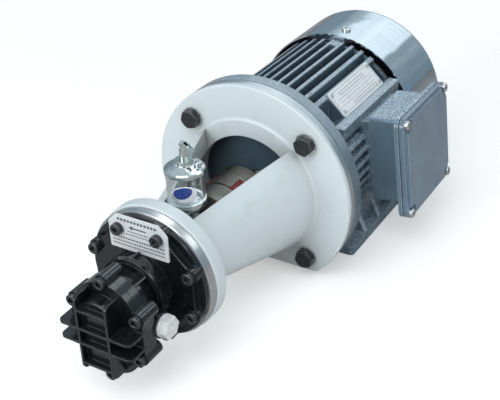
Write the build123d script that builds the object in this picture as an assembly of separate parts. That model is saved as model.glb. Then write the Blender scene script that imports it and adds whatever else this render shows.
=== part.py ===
from build123d import *
import os
from math import acos, atan2, cos, degrees, hypot, pi, radians, sin, sqrt, tan

# Gear metering pump, driven through a bell housing by a foot and flange mounted motor.
# Millimetres. +Z is up and +Y runs along the shaft, from the pump head to the motor's fan.
# The origin is the centre of the four foot holes, on the plane that the feet rest on.

# Motor: mounting sizes of the standard frame with an 80 mm shaft height
SHAFT_HEIGHT = 80
FOOT_GAUGE = 125
FOOT_PITCH = 100
FOOT_TO_FLANGE = 50
FOOT_HOLE_R = 5
FOOT_OUTER_X = 82.5
FOOT_INNER_X = 50
FOOT_END_MARGIN = 15.5
FOOT_T = 9
FLANGE_R = 100
FLANGE_T = 12
FLANGE_BOLT_R = 82.5
FLANGE_FLAT = 73
SPIGOT_R = 65
SPIGOT_H = 3.5
SHAFT_END_R = 9.5
SHAFT_END_LENGTH = 40

# Motor: finned frame, stator and rotor
SHIELD_T = 6
FRAME_LENGTH = 138
STATOR_R = 60
FRAME_WALL = 6
FIN_TIP_R = 82
FIN_T = 2.7
FIN_DRAFT = 0.05
FIN_PITCH = 10.5
FIN_COUNT = 4
FIN_FOOT_CLEAR = 5
RAIL_X = 71.5
RAIL_Z = 53
RAIL_W = 10
RAIL_T = 11
PLATE_RAIL_START = 16
CORE_LENGTH = 76
CORE_BORE_R = 37
AIR_GAP = 0.3
SLOT_COUNT = 24
WINDING_OVERHANG = 18
SHAFT_CORE_R = 14
BEARING_SEAT_R = 10
FAN_SEAT_R = 8
BEARING_R = 23.5
BEARING_W = 14
BEARING_RACE = 4.5
SHIELD_HUB_R = 18
SHIELD_SCREW_R = 74
SHIELD_SCREW_ANGLE = 87
SHIELD_BOSS_R = 8
SHIELD_BOSS_L = 12
REAR_SCREW_ANGLE = 27
REAR_SHIELD_R = 76.5

# Motor: fan and cowl
COWL_R = 86
COWL_WALL = 1.2
COWL_GAP = 3
COWL_LENGTH = 79
COWL_CORNER_R = 5
COWL_FLOOR_CLEAR = 1.5
COWL_SCREW_FROM_FRONT = 16
COWL_SCREW_ANGLES = (-3, 87, 177, 230, 310)
FAN_R = 70
FAN_BLADES = 8
FAN_WIDTH = 22
GRILLE_RINGS = 3
GRILLE_INNER_R = 20
GRILLE_SLOT = 9
GRILLE_BAR = 7
GRILLE_SPOKES = 6

# Motor: terminal box, leaning back a little from the vertical
BOX_LEAN = 6
BOX_Y = 4
PEDESTAL_R = 84
PEDESTAL_HALF_H = 38
PEDESTAL_HALF_L = 34
BOX_HALF_H = 43
BOX_HALF_L = 34.5
BOX_DEPTH = 31.5
BOX_WALL = 3
COVER_HALF = 50.5
COVER_CORNER_R = 9
BOX_RIM_T = 4
GASKET_T = 1
COVER_T = 4.5
PANEL_H = 2.5
COVER_SCREW_HALF = 44.5
RECESS_L = 4.6
RECESS_W = 1
RECESS_DEPTH = 1.3
GLAND_R = 9.5
PLATE_ANGLE = 46
PLATE_R = 81
PLATE_SHIFT = 6
PLATE_L = 83
PLATE_W = 27
PLATE_Y = -1.5
PLATE_T = 0.8

# Bell housing between motor and pump
BELL_FLANGE_T = 13
BELL_LENGTH = 134
BELL_NECK_FLANGE_T = 13
BELL_NECK_FLANGE_R = 58.5
BELL_ROOT_R = 67.5
BELL_NECK_R = 33
BELL_WALL = 9
BELL_MOUTH_R = 52.5
BELL_HUB_FROM_FACE = 92
BELL_HUB_R = 25
BELL_POCKET_FROM_NECK = 15
WINDOW_REAR_HALF = 45
WINDOW_NECK_HALF = 11.5
WINDOW_REAR_GAP = 2
WINDOW_FRONT_FROM_FACE = 120
WINDOW_FLOOR = 24
M10_R = 5
M10_HEAD_H = 6.4
M10_HEAD_FLAT = 16
M10_WASHER_T = 2

# Shaft coupling with three claws on each half
CLAW_R = 27.5
CLAW_BORE_R = 12.5
CLAW_COUNT = 3
CLAW_ANGLE = 46
CLAW_TURN = -25
SPIDER_W = 18
MOTOR_CLAW_BODY = 17.5
PUMP_CLAW_BODY = 22.5
COUPLING_FACE_GAP = 12
CLAW_END_GAP = 1.5

# Pump shaft and its bearings
PUMP_SHAFT_R = 8.5
PUMP_BEARING_R = 20
PUMP_BEARING_W = 12
PUMP_BEARING_RACE = 3.5
PUMP_SHOULDER_R = 10.5
SEAL_R = 17.5
SEAL_W = 7
CIRCLIP_T = 1.5

# Mounting ring and adapter cover
RING_R = 57
RING_T = 8
COVER_RIM_R = 54.5
ADAPTER_RIM_T = 3.5
ADAPTER_T = 10
ADAPTER_SCREW_R = 49
ADAPTER_SCREWS = 8
ADAPTER_BOSS_R = 6.5
NECK_R = 29.5
NECK_L = 17
NECK_ROOT_R = 26
NECK_FLANGE_T = 5
NECK_WEBS = 6
WEB_START = 90
NECK_LIP = 1.6
NECK_LIP_H = 1
M6_R = 3
M6_HEAD_R = 5
M6_HEAD_H = 5
M6_SOCKET_FLAT = 5
TAG_T = 1
TAG_HALF_W = 28
TAG_LOW = 26.5
TAG_TOP = 58
TAG_CUT = 8

# Gear head
GEAR_MODULE = 2.25
GEAR_TEETH = 12
GEAR_PRESSURE_ANGLE = 20
GEAR_WIDTH = 18.4
TOOTH_SHY = 0.12
GEAR_SHAFT_R = 6
CHAMBER_GAP = 0.06
HOUSING_T = 25
HOUSING_FLANGE_T = 8.5
HEAD_BOSS_L = 12.5
HOUSING_R = 21
HOUSING_WEB_R = 27.5
HOUSING_WEB_T = 1.8
HOUSING_WEB_ANGLES = (51, 129)
DRUM_R = 29
FLANK_X = 34
HEAD_BOSS_R = 6
HEAD_SCREW_R = 30.3
SIDE_SCREW_RISE = 5
HEAD_SINK = 1.5
HEAD_COVER_T = 7
BLOCK_R = 18
BLOCK_H = 11.5
BUSH_WALL = 2
BUSH_L = 6
PORT_R = 5
PORT_BOSS_R = 11
PORT_FROM_NECK = 8.25
PORT_X = 35
PORT_COLLAR_R = 9.5
PORT_COLLAR_T = 2
PORT_HEX_FLAT = 17
PORT_HEX_H = 7
SEAL_GROOVE = 2
RIB_H = 17
RIB_T = 2
RIB_X = 14.3
RIB_TOP = 22
RIB_FOOT = 47
WING_TIP_X = 34.5
WING_Z = (-7, -21)
SHORT_RIB_Z = (10.5, -40)
RIB_CORNER = 5

# Drip oiler on the bell housing
OILER_FROM_FACE = 99
OILER_STEM_R = 5.5
OILER_BOWL_R = 16.5
OILER_BOWL_H = 11
OILER_GLASS_R = 15.8
OILER_GLASS_WALL = 1.8
OILER_GLASS_H = 25
OILER_LID_R = 17
OILER_LID_H = 4
OILER_DOME_H = 3
OILER_POST_R = 3.4
OILER_POST_H = 12.5
OILER_PIVOT_RISE = 5.2
OILER_NUT_R = 7.3
OILER_NUT_H = 4
OILER_NEEDLE_R = 1.2
OILER_LEVER_L = 10.5
OILER_LEVER_T = 5.4
OILER_LEVER_R = 2.1
OILER_LEVER_TILT = 34
OILER_NEEDLE_HEAD_T = 2.6
OILER_CAP_R = 3
OILER_CAP_OFFSET = 12
OILER_STEM_RISE = 7

# Fits between pieces
SEAT = 0.02
RUNNING = 0.05
SCREW_CLEAR = 0.3

# Places along the shaft that the sizes above give
motor_face = -(FOOT_PITCH / 2 + FOOT_TO_FLANGE)
flange_back = motor_face + FLANGE_T
frame_front = flange_back + SHIELD_T
frame_rear = frame_front + FRAME_LENGTH
core_front = (frame_front + frame_rear) / 2 - CORE_LENGTH / 2
core_rear = core_front + CORE_LENGTH
front_bearing = frame_front - 8
rear_bearing = frame_rear - 4
rail_foot = SHAFT_HEIGHT - RAIL_Z
cowl_front = frame_rear + COWL_GAP
cowl_rear = cowl_front + COWL_LENGTH
fan_front = rear_bearing + BEARING_W + 16
bell_face = motor_face - BELL_FLANGE_T
neck_back = bell_face - BELL_LENGTH
neck_face = neck_back - BELL_NECK_FLANGE_T
hub_back = bell_face - BELL_HUB_FROM_FACE
oiler_y = bell_face - OILER_FROM_FACE
ring_face = neck_face - RING_T
adapter_face = ring_face - ADAPTER_T
neck_front = adapter_face - NECK_L
housing_front = neck_front - HOUSING_T
cover_face = housing_front - HEAD_COVER_T
rib_face = cover_face - RIB_H
block_face = cover_face - BLOCK_H
gear_drop = GEAR_MODULE * GEAR_TEETH
port_y = neck_front - PORT_FROM_NECK
port_z = -gear_drop / 2
motor_claw_front = bell_face - COUPLING_FACE_GAP - MOTOR_CLAW_BODY
pump_claw_back = motor_claw_front - SPIDER_W
pump_claw_front = pump_claw_back - PUMP_CLAW_BODY
pedestal_face = PEDESTAL_R
box_rim_face = pedestal_face + BOX_DEPTH + BOX_RIM_T
cover_back = box_rim_face + GASKET_T
panel_face = cover_back + COVER_T + PANEL_H
oiler_floor = SHAFT_HEIGHT + WINDOW_FLOOR
bowl_z = oiler_floor + OILER_STEM_RISE
glass_z = bowl_z + OILER_BOWL_H
lid_z = glass_z + OILER_GLASS_H
lid_top = lid_z + OILER_LID_H + OILER_DOME_H
post_top = lid_top + OILER_POST_H
lever_pivot_z = post_top + OILER_PIVOT_RISE

shaft_line = Axis((0, 0, SHAFT_HEIGHT), (0, 1, 0))


def across(y):
    """The plane square to the shaft at y: X across, Z up, measured from the shaft's axis."""
    return Plane(origin=(0, y, SHAFT_HEIGHT), x_dir=(1, 0, 0), z_dir=(0, -1, 0))


def slab(outline, front, back):
    """An outline drawn across the shaft, made solid from y = front to y = back."""
    return extrude(across(back) * outline, back - front)


def disc(radius, front, back, x=0, z=0):
    """A round bar along the shaft direction, centred x and z away from the shaft's axis."""
    return slab(Pos(x, z) * Circle(radius), front, back)


def tube(outer, inner, front, back, x=0, z=0):
    return disc(outer, front, back, x, z) - disc(inner, front, back, x, z)


def turned(*points):
    """A body of revolution about the shaft from a closed profile of (y, radius) points."""
    profile = Plane(origin=(0, 0, SHAFT_HEIGHT), x_dir=(0, 1, 0), z_dir=(1, 0, 0)) * Polygon(*points, align=None)
    return revolve(profile, shaft_line, 360)


def spun(x, y, *points):
    """A body of revolution about an upright line through x, y from (radius, z) points."""
    profile = Plane(origin=(x, y, 0), x_dir=(1, 0, 0), z_dir=(0, -1, 0)) * Polygon(*points, align=None)
    return revolve(profile, Axis((x, y, 0), (0, 0, 1)), 360)


def around(angle, radius):
    """The point at an angle and radius about the shaft's axis, as x and height above it."""
    return radius * cos(radians(angle)), radius * sin(radians(angle))


def turn(shape, angle):
    """Turn a shape about the shaft, lifting the +X side for a positive angle."""
    return shape.rotate(shaft_line, -angle)


def hexagon(flat):
    return RegularPolygon(flat / 2, 6, major_radius=False)


def socket_screw(front, length, x, z, radius, head_r, head_h, socket):
    """A cap screw whose head stands in front of y = front and whose shank runs back from it."""
    head = disc(head_r, front - head_h, front, x, z) - slab(
        Pos(x, z) * hexagon(socket), front - head_h, front - head_h * 0.45)
    head = chamfer(head.edges().filter_by(GeomType.CIRCLE).sort_by(Axis.Y)[0], head_r * 0.1)
    return head + disc(radius, front, front + length, x, z)


def write(name, shape):
    export_step(shape, f"parts/{name}.step")


def group(solids):
    return Compound(children=list(solids))


# Motor frame: a finned aluminium extrusion with foot rails, a plate pad and the box pedestal
def motor_housing():
    tip = FIN_T / 2
    root = tip + FIN_DRAFT * FIN_TIP_R
    fin = Polygon((-tip, -FIN_TIP_R), (tip, -FIN_TIP_R), (root, 0), (tip, FIN_TIP_R), (-tip, FIN_TIP_R),
                  (-root, 0), align=None)
    fins = Sketch()
    for k in range(-FIN_COUNT, FIN_COUNT + 1):
        fins += Pos(k * FIN_PITCH, 0) * fin
        if abs(k) < FIN_COUNT:
            fins += Pos(0, k * FIN_PITCH) * Rot(0, 0, 90) * fin
    section = fins & Circle(FIN_TIP_R)
    rail = Polygon((RAIL_X, RAIL_Z), (RAIL_X - RAIL_W, RAIL_Z), (RAIL_Z * 0.75, RAIL_Z * 0.75),
                   (RAIL_X * 0.72, RAIL_Z * 0.5), (RAIL_X, RAIL_Z - RAIL_T), align=None)
    section += mirror(rail, Plane.XZ)
    section += Rot(0, 0, 180) * rail
    section += Circle(STATOR_R + FRAME_WALL)
    section -= Circle(STATOR_R + SEAT)
    fin_floor = SHAFT_HEIGHT - FIN_FOOT_CLEAR
    section &= Pos(0, FIN_TIP_R - fin_floor) * Rectangle(3 * FIN_TIP_R, 2 * FIN_TIP_R)
    frame = slab(section, frame_front, frame_rear)
    frame += slab(rail - Circle(STATOR_R + SEAT), frame_front + PLATE_RAIL_START, frame_rear)
    seat_width = PLATE_W + 1
    seat_depth = PLATE_R - STATOR_R - 3
    seat = Rot(0, 0, PLATE_ANGLE) * Pos(PLATE_R - seat_depth / 2, PLATE_SHIFT) * Rectangle(seat_depth, seat_width)
    frame += slab(seat, PLATE_Y - PLATE_L / 2 - 1, PLATE_Y + PLATE_L / 2 + 1)
    room = Rot(0, 0, PLATE_ANGLE) * Pos(PLATE_R + 10, PLATE_SHIFT) * Rectangle(20, seat_width)
    frame -= slab(room, PLATE_Y - PLATE_L / 2 - 1, PLATE_Y + PLATE_L / 2 + 1)
    depth = pedestal_face - STATOR_R - 3
    pedestal = Pos(pedestal_face - depth / 2, BOX_Y, SHAFT_HEIGHT) * Box(
        depth, 2 * PEDESTAL_HALF_L, 2 * PEDESTAL_HALF_H)
    lead_way = Pos(pedestal_face - depth / 2, BOX_Y, SHAFT_HEIGHT) * Box(depth + 10, 32, 26)
    frame += turn(pedestal, BOX_LEAN)
    frame -= turn(lead_way, BOX_LEAN)
    for angle in range(SHIELD_SCREW_ANGLE, SHIELD_SCREW_ANGLE + 360, 120):
        x, z = around(angle, SHIELD_SCREW_R)
        for front in (frame_front, frame_rear - SHIELD_BOSS_L):
            back = front + SHIELD_BOSS_L
            frame += disc(SHIELD_BOSS_R, front, back, x, z) - disc(STATOR_R + 2, front, back)
        frame -= disc(2.5, frame_front, frame_front + SHIELD_BOSS_L, x, z)
    for angle in range(REAR_SCREW_ANGLE, REAR_SCREW_ANGLE + 360, 120):
        frame -= disc(2.5, frame_rear - 13, frame_rear, *around(angle, STATOR_R + FRAME_WALL / 2))
    for side in (-1, 1):
        for y in (-22, 22):
            frame -= Pos(side * (RAIL_X - RAIL_W / 2), y, rail_foot + 4) * Cylinder(2.5, 8)
    return frame


# Feet: cast bases bolted under the two lower rails, webbed up to them
def motor_feet():
    feet = []
    length = FOOT_PITCH + 2 * FOOT_END_MARGIN
    post_x = RAIL_X - RAIL_W
    for side in (-1, 1):
        base = Pos((FOOT_INNER_X + FOOT_OUTER_X) / 2, 0, FOOT_T / 2) * Box(
            FOOT_OUTER_X - FOOT_INNER_X, length, FOOT_T)
        base = fillet(base.edges().filter_by(Axis.Z), 4)
        web = Pos((post_x + RAIL_X) / 2, 0, rail_foot / 2) * Box(RAIL_W, 70, rail_foot)
        gusset_outline = Polygon((post_x, FOOT_T / 2), (FOOT_OUTER_X - 2, FOOT_T / 2), (FOOT_OUTER_X - 2, FOOT_T),
                                 (RAIL_X, rail_foot), (post_x, rail_foot), align=None)
        foot = base + web
        for y in (-32, 0, 32):
            plane = Plane(origin=(0, y + 3, 0), x_dir=(1, 0, 0), z_dir=(0, -1, 0))
            foot += extrude(plane * gusset_outline, 6)
        for y in (-FOOT_PITCH / 2, FOOT_PITCH / 2):
            foot -= Pos(FOOT_GAUGE / 2, y, FOOT_T / 2) * Cylinder(FOOT_HOLE_R, FOOT_T)
        for y in (-22, 22):
            foot -= Pos(RAIL_X - RAIL_W / 2, y, rail_foot / 2) * Cylinder(M6_R + 0.05, rail_foot)
            foot -= Pos(RAIL_X - RAIL_W / 2, y, 3.5) * Cylinder(5.5, 7)
        feet.append(foot if side > 0 else mirror(foot, Plane.YZ))
    return group(feet)


def foot_screws():
    screws = []
    for side in (-1, 1):
        for y in (-22, 22):
            x = side * (RAIL_X - RAIL_W / 2)
            head = Pos(x, y, 7 - M6_HEAD_H / 2) * Cylinder(M6_HEAD_R, M6_HEAD_H)
            shank = Pos(x, y, (7 + rail_foot + 6) / 2) * Cylinder(2.45, rail_foot - 1)
            socket = Pos(x, y, 7 - M6_HEAD_H) * extrude(hexagon(M6_SOCKET_FLAT), 2.5)
            screws.append(head + shank - socket)
    return group(screws)


# End shields: the front one carries the mounting flange, the rear one the fan cowl's lugs
def drive_end_shield():
    bearing_back = front_bearing + BEARING_W
    shield = turned(
        (motor_face + 1, BEARING_SEAT_R + 0.6), (motor_face + 1, SHIELD_HUB_R), (motor_face + 3, SPIGOT_R - 9),
        (motor_face - SPIGOT_H, SPIGOT_R - 5), (motor_face - SPIGOT_H, SPIGOT_R - SEAT),
        (motor_face, SPIGOT_R - SEAT), (motor_face, FLANGE_R), (flange_back, FLANGE_R),
        (flange_back, FIN_TIP_R), (frame_front, FIN_TIP_R), (frame_front, STATOR_R),
        (frame_front + 4, STATOR_R), (frame_front + 4, STATOR_R - 6), (frame_front - 6, STATOR_R - 10),
        (frame_front - 6, BEARING_R + 9), (bearing_back, BEARING_R + 6), (bearing_back, BEARING_R + SEAT),
        (front_bearing, BEARING_R + SEAT), (front_bearing, BEARING_SEAT_R + 0.6))
    shield -= Pos(0, motor_face + FLANGE_T / 2, SHAFT_HEIGHT - FLANGE_FLAT - FLANGE_R / 2) * Box(
        2 * FLANGE_R, 4 * FLANGE_T, FLANGE_R)
    for angle in range(45, 360, 90):
        x, z = around(angle, FLANGE_BOLT_R)
        shield -= disc(M10_R + SEAT, motor_face - 1, flange_back + SHIELD_T, x, z)
    for angle in range(SHIELD_SCREW_ANGLE, SHIELD_SCREW_ANGLE + 360, 120):
        x, z = around(angle, SHIELD_SCREW_R)
        shield -= disc(2.7, motor_face, frame_front, x, z)
        shield -= disc(5, motor_face, motor_face + 6, x, z)
    return shield


def rear_end_shield():
    bearing_back = rear_bearing + BEARING_W
    shield = turned(
        (frame_rear - 4, STATOR_R - 6), (frame_rear - 4, STATOR_R), (frame_rear, STATOR_R),
        (frame_rear, REAR_SHIELD_R), (frame_rear + 5, REAR_SHIELD_R), (frame_rear + 7, BEARING_R + 10),
        (bearing_back + 3, BEARING_R + 5), (bearing_back + 3, BEARING_SEAT_R + 0.6),
        (bearing_back, BEARING_SEAT_R + 0.6), (bearing_back, BEARING_R + SEAT),
        (rear_bearing, BEARING_R + SEAT), (rear_bearing, BEARING_R + 5), (frame_rear + 1, BEARING_R + 8),
        (frame_rear + 1, STATOR_R - 10))
    lug_r = COWL_R - COWL_WALL - RUNNING
    lug_depth = lug_r - REAR_SHIELD_R + 4
    lug_back = cowl_front + COWL_SCREW_FROM_FRONT + 7
    for angle in COWL_SCREW_ANGLES:
        lug = Pos(0, (frame_rear + 2 + lug_back) / 2, SHAFT_HEIGHT + lug_r - lug_depth / 2) * Box(
            12, lug_back - frame_rear - 2, lug_depth)
        lug &= disc(lug_r, frame_rear, lug_back)
        lug -= Pos(0, cowl_front + COWL_SCREW_FROM_FRONT, SHAFT_HEIGHT + lug_r - 6) * Cylinder(2 + SEAT, 12)
        shield += turn(lug, angle - 90)
    for angle in range(REAR_SCREW_ANGLE, REAR_SCREW_ANGLE + 360, 120):
        x, z = around(angle, STATOR_R + FRAME_WALL / 2)
        shield -= disc(2.7, frame_rear, frame_rear + 9, x, z)
        shield -= disc(5, frame_rear + 5, frame_rear + 9, x, z)
    return shield


def end_shield_screws():
    screws = []
    for angle in range(SHIELD_SCREW_ANGLE, SHIELD_SCREW_ANGLE + 360, 120):
        x, z = around(angle, SHIELD_SCREW_R)
        screws.append(socket_screw(motor_face + 6, 17, x, z, 2.45, 4.2, 5, 4))
    for angle in range(REAR_SCREW_ANGLE, REAR_SCREW_ANGLE + 360, 120):
        x, z = around(angle, STATOR_R + FRAME_WALL / 2)
        screws.append(mirror(socket_screw(-frame_rear - 5, 17, x, z, 2.45, 4.2, 5, 4), Plane.XZ))
    return group(screws)


# Stator: a slotted core with end windings as closed rings
def stator_core():
    section = Circle(STATOR_R) - Circle(CORE_BORE_R)
    for k in range(SLOT_COUNT):
        section -= Rot(0, 0, k * 360 / SLOT_COUNT) * Pos(CORE_BORE_R + 6, 0) * Rectangle(14, 4)
    return slab(section, core_front, core_rear)


def stator_windings():
    inner = CORE_BORE_R + 3
    outer = STATOR_R - 5
    rings = []
    for front, back, toe in ((core_front - WINDING_OVERHANG, core_front, 1), (core_rear, core_rear + WINDING_OVERHANG, -1)):
        end = front if toe > 0 else back
        root = back if toe > 0 else front
        rings.append(turned((root, inner), (root, outer), (end + 4 * toe, outer), (end, outer - 4),
                            (end, inner + 4), (end + 4 * toe, inner)))
    return group(rings)


def rotor_core():
    return tube(CORE_BORE_R - AIR_GAP, SHAFT_CORE_R + SEAT, core_front, core_rear)


# Motor shaft: stepped, with the keyed end in the coupling and the fan on the far end
def motor_shaft():
    front = motor_face - SHAFT_END_LENGTH
    core_end_front = front_bearing + BEARING_W
    core_end_rear = rear_bearing
    shaft = turned(
        (front, 0), (front, SHAFT_END_R - 1), (front + 1, SHAFT_END_R), (motor_face, SHAFT_END_R),
        (motor_face, BEARING_SEAT_R), (core_end_front, BEARING_SEAT_R), (core_end_front, SHAFT_CORE_R),
        (core_end_rear, SHAFT_CORE_R), (core_end_rear, BEARING_SEAT_R), (fan_front - 4, BEARING_SEAT_R),
        (fan_front - 4, FAN_SEAT_R), (fan_front + FAN_WIDTH, FAN_SEAT_R), (fan_front + FAN_WIDTH, 0))
    keyway = Pos(0, motor_face - SHAFT_END_LENGTH / 2 - 2, SHAFT_HEIGHT + SHAFT_END_R) * Box(
        6, SHAFT_END_LENGTH - 12, 7)
    return shaft - keyway


def shaft_key():
    return Pos(0, motor_face - SHAFT_END_LENGTH / 2 - 2, SHAFT_HEIGHT + SHAFT_END_R - 0.5) * Box(
        5.96, SHAFT_END_LENGTH - 12.04, 5.9)


def bearing(front, width, bore, outer, race):
    """A sealed ball bearing as its outer ring with both seals, and its inner ring."""
    lip = bore + race + RUNNING
    back = front + width
    groove = outer - race
    outer_ring = turned(
        (front, lip), (front, outer), (back, outer), (back, lip), (back - 1, lip), (back - 1, groove),
        (front + 1, groove), (front + 1, lip))
    inner_ring = tube(bore + race, bore + SEAT, front, back)
    return outer_ring, inner_ring


# Fan: flat blades on a disc, clamped on the shaft behind the rear shield
def cooling_fan():
    fan = tube(FAN_SEAT_R + 6, FAN_SEAT_R + SEAT, fan_front, fan_front + FAN_WIDTH - 2)
    fan += tube(FAN_R, FAN_SEAT_R + 2, fan_front, fan_front + 2.5)
    for k in range(FAN_BLADES):
        blade = Pos((FAN_R + FAN_SEAT_R + 4) / 2, fan_front + FAN_WIDTH / 2, SHAFT_HEIGHT) * Box(
            FAN_R - FAN_SEAT_R - 4, FAN_WIDTH, 2.5)
        fan += turn(blade, k * 360 / FAN_BLADES)
    return fan & disc(FAN_R, fan_front, fan_front + FAN_WIDTH)


# Fan cowl: a drawn cup of polished sheet, slotted at the rear and flattened below to clear the floor
def fan_cowl():
    wall = COWL_WALL
    outer = turned((cowl_front, 0), (cowl_front, COWL_R), (cowl_rear, COWL_R), (cowl_rear, 0))
    outer = fillet(outer.edges().filter_by(GeomType.CIRCLE).sort_by(Axis.Y)[-1], COWL_CORNER_R)
    inner = turned((cowl_front, 0), (cowl_front, COWL_R - wall), (cowl_rear - wall, COWL_R - wall),
                   (cowl_rear - wall, 0))
    inner = fillet(inner.edges().filter_by(GeomType.CIRCLE).sort_by(Axis.Y)[-1], COWL_CORNER_R - wall)
    outer -= Pos(0, (cowl_front + cowl_rear) / 2, COWL_FLOOR_CLEAR - 10) * Box(2 * COWL_R, 2 * COWL_LENGTH, 20)
    inner -= Pos(0, (cowl_front + cowl_rear) / 2, COWL_FLOOR_CLEAR + wall - 10) * Box(2 * COWL_R, 2 * COWL_LENGTH, 20)
    cowl = outer - inner
    slots = Sketch()
    for k in range(GRILLE_RINGS):
        r = GRILLE_INNER_R + k * (GRILLE_SLOT + GRILLE_BAR)
        slots += Circle(r + GRILLE_SLOT) - Circle(r)
    for k in range(GRILLE_SPOKES // 2):
        slots -= Rot(0, 0, k * 360 / GRILLE_SPOKES) * Rectangle(2 * COWL_R, GRILLE_BAR)
    cowl -= slab(slots, cowl_rear - 3 * wall, cowl_rear + wall)
    for angle in COWL_SCREW_ANGLES:
        hole = Pos(0, cowl_front + COWL_SCREW_FROM_FRONT, SHAFT_HEIGHT + COWL_R) * Cylinder(2.3, 10)
        cowl -= turn(hole, angle - 90)
    return cowl


def cowl_screws():
    screws = []
    for angle in COWL_SCREW_ANGLES:
        y = cowl_front + COWL_SCREW_FROM_FRONT
        head = Pos(0, y, SHAFT_HEIGHT + COWL_R + RUNNING + 1.3) * Cylinder(4.6, 2.6)
        head = fillet(head.edges().filter_by(GeomType.CIRCLE).sort_by(Axis.Z)[-1], 1.2)
        top = SHAFT_HEIGHT + COWL_R + RUNNING + 2.6
        head -= Pos(0, y, top) * Box(RECESS_L, RECESS_W, 2 * RECESS_DEPTH)
        head -= Pos(0, y, top) * Box(RECESS_W, RECESS_L, 2 * RECESS_DEPTH)
        head += Pos(0, y, SHAFT_HEIGHT + COWL_R - 5) * Cylinder(2, 11)
        screws.append(turn(head, angle - 90))
    return group(screws)


# Terminal box: every piece is drawn as if it faced +X, then leans back with the box
def boxed(half_h, half_l, near, far, corner):
    """A plate or block square to +X, from x = near to x = far, with rounded corners."""
    plane = Plane(origin=(near, BOX_Y, SHAFT_HEIGHT), x_dir=(0, 1, 0), z_dir=(1, 0, 0))
    return extrude(plane * RectangleRounded(2 * half_l, 2 * half_h, corner), far - near)


def corner_holes(radius, near, far):
    holes = []
    for y in (-COVER_SCREW_HALF, COVER_SCREW_HALF):
        for z in (-COVER_SCREW_HALF, COVER_SCREW_HALF):
            plane = Plane(origin=(near, BOX_Y + y, SHAFT_HEIGHT + z), x_dir=(0, 1, 0), z_dir=(1, 0, 0))
            holes.append(extrude(plane * Circle(radius), far - near))
    return holes


def terminal_box_base():
    rim_back = pedestal_face + BOX_DEPTH
    base = boxed(BOX_HALF_H, BOX_HALF_L, pedestal_face, rim_back, 4)
    base += boxed(COVER_HALF, COVER_HALF, rim_back, box_rim_face, COVER_CORNER_R)
    base -= boxed(BOX_HALF_H - BOX_WALL, BOX_HALF_L - BOX_WALL, pedestal_face + BOX_WALL, box_rim_face, 3)
    base -= Pos(pedestal_face, BOX_Y, SHAFT_HEIGHT - 24) * Box(2 * BOX_WALL + 2, 32, 12)
    for hole in corner_holes(2 + SEAT, rim_back, box_rim_face):
        base -= hole
    gland_x = pedestal_face + BOX_DEPTH / 2
    base -= Pos(gland_x, BOX_Y, SHAFT_HEIGHT - BOX_HALF_H) * Cylinder(GLAND_R - 2 + SEAT, 4 * BOX_WALL)
    return turn(base, BOX_LEAN)


def terminal_box_gasket():
    gasket = boxed(COVER_HALF - 1, COVER_HALF - 1, box_rim_face, cover_back, COVER_CORNER_R - 1)
    gasket -= boxed(BOX_HALF_H - 1, BOX_HALF_L, box_rim_face, cover_back, 3)
    for hole in corner_holes(2.4, box_rim_face, cover_back):
        gasket -= hole
    return turn(gasket, BOX_LEAN)


def terminal_box_cover():
    face = cover_back + COVER_T
    cover = boxed(COVER_HALF, COVER_HALF, cover_back, face, COVER_CORNER_R)
    panel = boxed(COVER_HALF - 4, COVER_HALF - 4, face, panel_face, 3)
    for cut in corner_holes(8.5, face, panel_face):
        panel -= cut
    cover += panel
    cover -= boxed(BOX_HALF_H - 4, BOX_HALF_L - 2, cover_back, face, 3)
    for hole in corner_holes(2.4, cover_back, face):
        cover -= hole
    return turn(cover, BOX_LEAN)


def terminal_box_screws():
    face = cover_back + COVER_T
    heads = corner_holes(4.4, face, face + 3.4)
    shanks = corner_holes(2, box_rim_face - BOX_RIM_T, face)
    screws = []
    for head, shank in zip(heads, shanks):
        middle = head.center()
        screw = fillet(head.edges().filter_by(GeomType.CIRCLE).sort_by(Axis.X)[-1], 1.2) + shank
        screw -= Pos(face + 3.4, middle.Y, middle.Z) * Box(2 * RECESS_DEPTH, RECESS_L, RECESS_W)
        screw -= Pos(face + 3.4, middle.Y, middle.Z) * Box(2 * RECESS_DEPTH, RECESS_W, RECESS_L)
        screws.append(turn(screw, BOX_LEAN))
    return group(screws)


def terminal_block():
    floor = pedestal_face + BOX_WALL
    block = boxed(14, 24, floor + 4, floor + 12, 2)
    for y in (-20, 20):
        block += Pos(floor + 2, BOX_Y + y, SHAFT_HEIGHT) * Box(4, 8, 20)
    for y in (-16, 0, 16):
        for z in (-7, 7):
            plane = Plane(origin=(floor + 4, BOX_Y + y, SHAFT_HEIGHT + z), x_dir=(0, 1, 0), z_dir=(1, 0, 0))
            block -= extrude(plane * Circle(2 + SEAT), 8)
    return turn(block, BOX_LEAN)


def terminal_studs():
    floor = pedestal_face + BOX_WALL
    studs = []
    for y in (-16, 0, 16):
        for z in (-7, 7):
            plane = Plane(origin=(floor + 4, BOX_Y + y, SHAFT_HEIGHT + z), x_dir=(0, 1, 0), z_dir=(1, 0, 0))
            stud = extrude(plane * Circle(2), 19)
            nut_plane = plane.offset(8)
            stud += extrude(nut_plane * hexagon(7), 3.2)
            studs.append(turn(stud, BOX_LEAN))
    return group(studs)


def cable_gland():
    """A screwed cable entry under the box, with its hexagon, dome nut and empty rubber throat."""
    x = pedestal_face + BOX_DEPTH / 2
    z = SHAFT_HEIGHT - BOX_HALF_H
    throat = 4.5
    gland = Pos(x, BOX_Y, z - 6) * extrude(hexagon(2 * GLAND_R + 3), 6)
    gland += spun(x, BOX_Y, (0, z - 6), (GLAND_R, z - 6), (GLAND_R, z - 16), (GLAND_R - 3, z - 21), (0, z - 21))
    gland += Pos(x, BOX_Y, z + 3.5) * Cylinder(GLAND_R - 2, 7)
    gland -= Pos(x, BOX_Y, z - 7) * Cylinder(throat, 40)
    return turn(gland, BOX_LEAN)


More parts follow.
